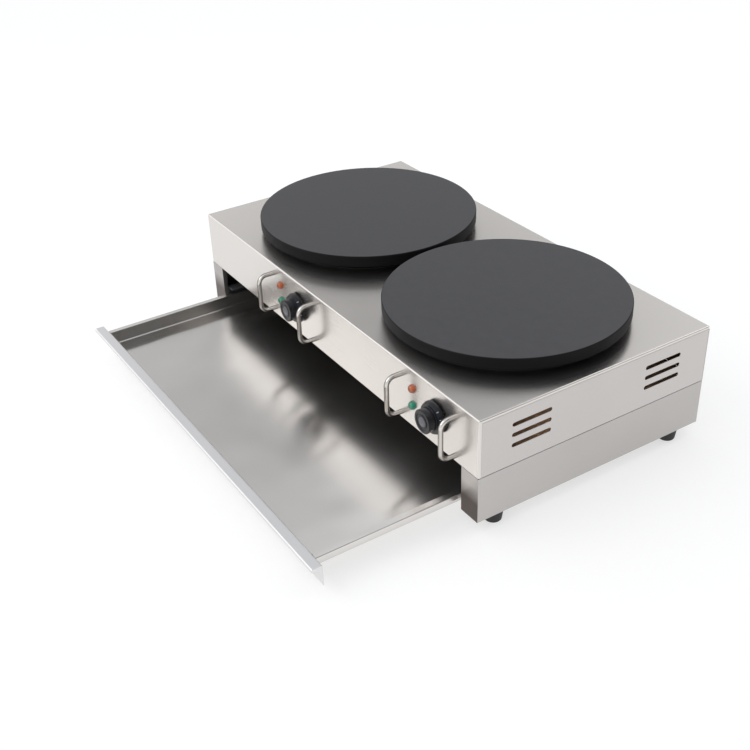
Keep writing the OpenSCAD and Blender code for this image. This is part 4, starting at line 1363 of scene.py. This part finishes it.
@dataclass
class Studio:
    """Camera, soft lights, pale floor and the surroundings that the steel mirrors."""

    azimuth: float = 58.277
    elevation: float = 32.43
    roll: float = -2.161
    distance: float = 1.92722
    target: tuple[float, float, float] = (0.052628, -0.157855, 0.061605)
    lens: float = 53.978
    floor_reach: float = 14.0
    floor_drop: float = 0.2 * MM
    floor_glow: float = 0.6
    casing_glow: float = 0.12
    ambient: float = 0.98
    boxes: tuple[SoftBox, ...] = (
        SoftBox("key_box", (-0.6, -2.6, 2.4), 2.2, 22.0, (1.0, 0.98, 0.95)),
        SoftBox("fill_box", (0.9, 2.4, 2.6), 1.8, 12.0, (1.0, 0.99, 0.98)),
    )
    spots: tuple[SoftSpot, ...] = (
        SoftSpot(-57.5, 33.0, 8.0, 5.5, -0.8),
        SoftSpot(-118.0, 29.0, 13.0, 10.0, 0.95),
        SoftSpot(-76.0, 40.0, 9.0, 8.0, -0.45),
        SoftSpot(-70.5, 39.0, 1.6, 6.0, 0.6),
        SoftSpot(-60.5, 42.0, 2.5, 4.5, 0.45),
        SoftSpot(64.0, 30.0, 30.0, 20.0, -0.93),
    )

    def place_camera(self) -> None:
        """Creates the camera and makes it the scene's own."""
        azimuth, elevation, roll = (math.radians(a) for a in (self.azimuth, self.elevation, self.roll))
        back = Vector((math.sin(azimuth) * math.cos(elevation),
                       -math.cos(azimuth) * math.cos(elevation), math.sin(elevation)))
        right = (-back).cross(Vector((0, 0, 1))).normalized()
        up = right.cross(-back)
        turned_right = math.cos(roll) * right + math.sin(roll) * up
        turned_up = -math.sin(roll) * right + math.cos(roll) * up
        data = bpy.data.cameras.new("camera")
        data.lens = self.lens
        data.sensor_width = 36.0
        camera = linked("camera", data)
        place = Matrix((turned_right, turned_up, back)).transposed().to_4x4()
        place.translation = Vector(self.target) + back * self.distance
        camera.matrix_world = place
        bpy.context.scene.camera = camera

    def lay_floor(self, painter: Painter) -> None:
        """Lays the pale floor."""
        material, shader, bsdf = painter.start("pale_floor")
        skin = painter.place(shader, painter.effects.moulded_skin, Scale=40.0)
        colour = shader.blend(skin.outputs["Mottle"], (0.43, 0.43, 0.43), (0.46, 0.46, 0.46))
        shader.feed(bsdf, {"Base Color": colour, "Roughness": 0.9, "Specular IOR Level": 0.1,
                           "Emission Color": (1.0, 1.0, 1.0, 1.0), "Emission Strength": self.floor_glow})
        mesh = bmesh.new()
        bmesh.ops.create_grid(mesh, x_segments=8, y_segments=8, size=self.floor_reach)
        data = bpy.data.meshes.new("floor")
        mesh.to_mesh(data)
        mesh.free()
        data.materials.append(material)
        floor = linked("floor", data)
        floor.location.z = -self.floor_drop

    def light(self) -> None:
        """Places the soft lights and paints the surroundings."""
        for box in self.boxes:
            self._soft_box(box)
        for side in Side:
            low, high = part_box(f"side_panel_{side.value}")
            place = Vector(((low.x + high.x) / 2 * 0.93, 0.0, high.z - 12 * MM))
            self._inner_glow(f"glow_{side.value}", place)
        world = bpy.data.worlds.new("surroundings")
        world.use_nodes = True
        bpy.context.scene.world = world
        shader = ShaderTree(world.node_tree)
        background = world.node_tree.nodes["Background"]
        direction = shader.add("ShaderNodeTexCoord").outputs["Generated"]
        level = self.ambient
        for spot in self.spots:
            level = shader.maths("MULTIPLY_ADD", self._soft_spot(shader, direction, spot), spot.change, level)
        parts = shader.add("ShaderNodeSeparateXYZ")
        shader.join(direction, parts.inputs[0])
        height = shader.spread(parts.outputs["Z"], 0.0, 0.95)
        shader.join(shader.blend(height, (1.0, 0.985, 0.97), (0.93, 0.96, 1.0)), background.inputs["Color"])
        shader.join(level, background.inputs["Strength"])
        view = bpy.context.scene.view_settings
        view.view_transform = "Standard"
        view.look = "None"

    def _inner_glow(self, name: str, place: Vector) -> None:
        """A faint warm light inside the casing, so that its vents aren't pitch black."""
        data = bpy.data.lights.new(name, "POINT")
        data.energy = self.casing_glow
        data.color = (1.0, 0.8, 0.62)
        data.shadow_soft_size = 8 * MM
        linked(name, data).location = place

    @staticmethod
    def _soft_spot(shader: ShaderTree, direction: bpy.types.NodeSocket,
                   spot: SoftSpot) -> bpy.types.NodeSocket:
        """A smooth round mask in one direction of the surroundings.

        Args:
            shader: the world's tree.
            direction: the direction looked at.
            spot: where the mask is and how wide.

        Returns:
            The mask, 1 in its middle and 0 far from it.
        """
        east = math.radians(spot.azimuth)
        rise = math.radians(spot.elevation)
        middle = Vector((math.sin(east) * math.cos(rise), math.cos(east) * math.cos(rise), math.sin(rise)))
        across = Vector((math.cos(east), -math.sin(east), 0.0))
        upward = across.cross(middle)
        ahead = shader.vector("DOT_PRODUCT", direction, middle, output=1)
        total = None
        for axis, width in ((across, spot.wide), (upward, spot.high)):
            offset = shader.vector("DOT_PRODUCT", direction, axis / math.radians(width), output=1)
            square = shader.maths("MULTIPLY", offset, offset)
            total = square if total is None else shader.maths("ADD", total, square)
        fall = shader.maths("EXPONENT", shader.maths("MULTIPLY", total, -0.5))
        return shader.maths("MULTIPLY", fall, shader.spread(ahead, 0.0, 0.2))

    @staticmethod
    def _soft_box(box: SoftBox) -> None:
        """Places an area light and turns it to the griddle."""
        data = bpy.data.lights.new(box.name, "AREA")
        data.size = box.size
        data.energy = box.power
        data.color = box.colour
        lamp = linked(box.name, data)
        lamp.location = box.place
        lamp.rotation_mode = "QUATERNION"
        lamp.rotation_quaternion = (Vector((0, 0, 0.1)) - Vector(box.place)).to_track_quat("-Z", "Y")


def main() -> None:
    """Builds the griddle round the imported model, part by part."""
    logging.basicConfig(level=logging.INFO, format="%(name)s: %(message)s")
    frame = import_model()
    painter = Painter(SharedEffects())
    finishes = Finishes(painter)
    maker = Maker(frame)
    studio = Studio()
    studio.place_camera()
    parts = [UpperCasing(maker, finishes), LowerBase(maker, finishes), Drawer(maker, finishes)]
    parts += [CookingUnit(maker, finishes, side) for side in Side]
    parts += [ControlUnit(maker, finishes, side) for side in Side]
    parts += [GuardHandles(maker, finishes), ElectricalFittings(maker, finishes)]
    for part in parts:
        part.build()
        LOG.info("%s built, %d pieces so far", type(part).__name__, maker.made)
    studio.lay_floor(painter)
    studio.light()


if __name__ == "__main__":
    main()
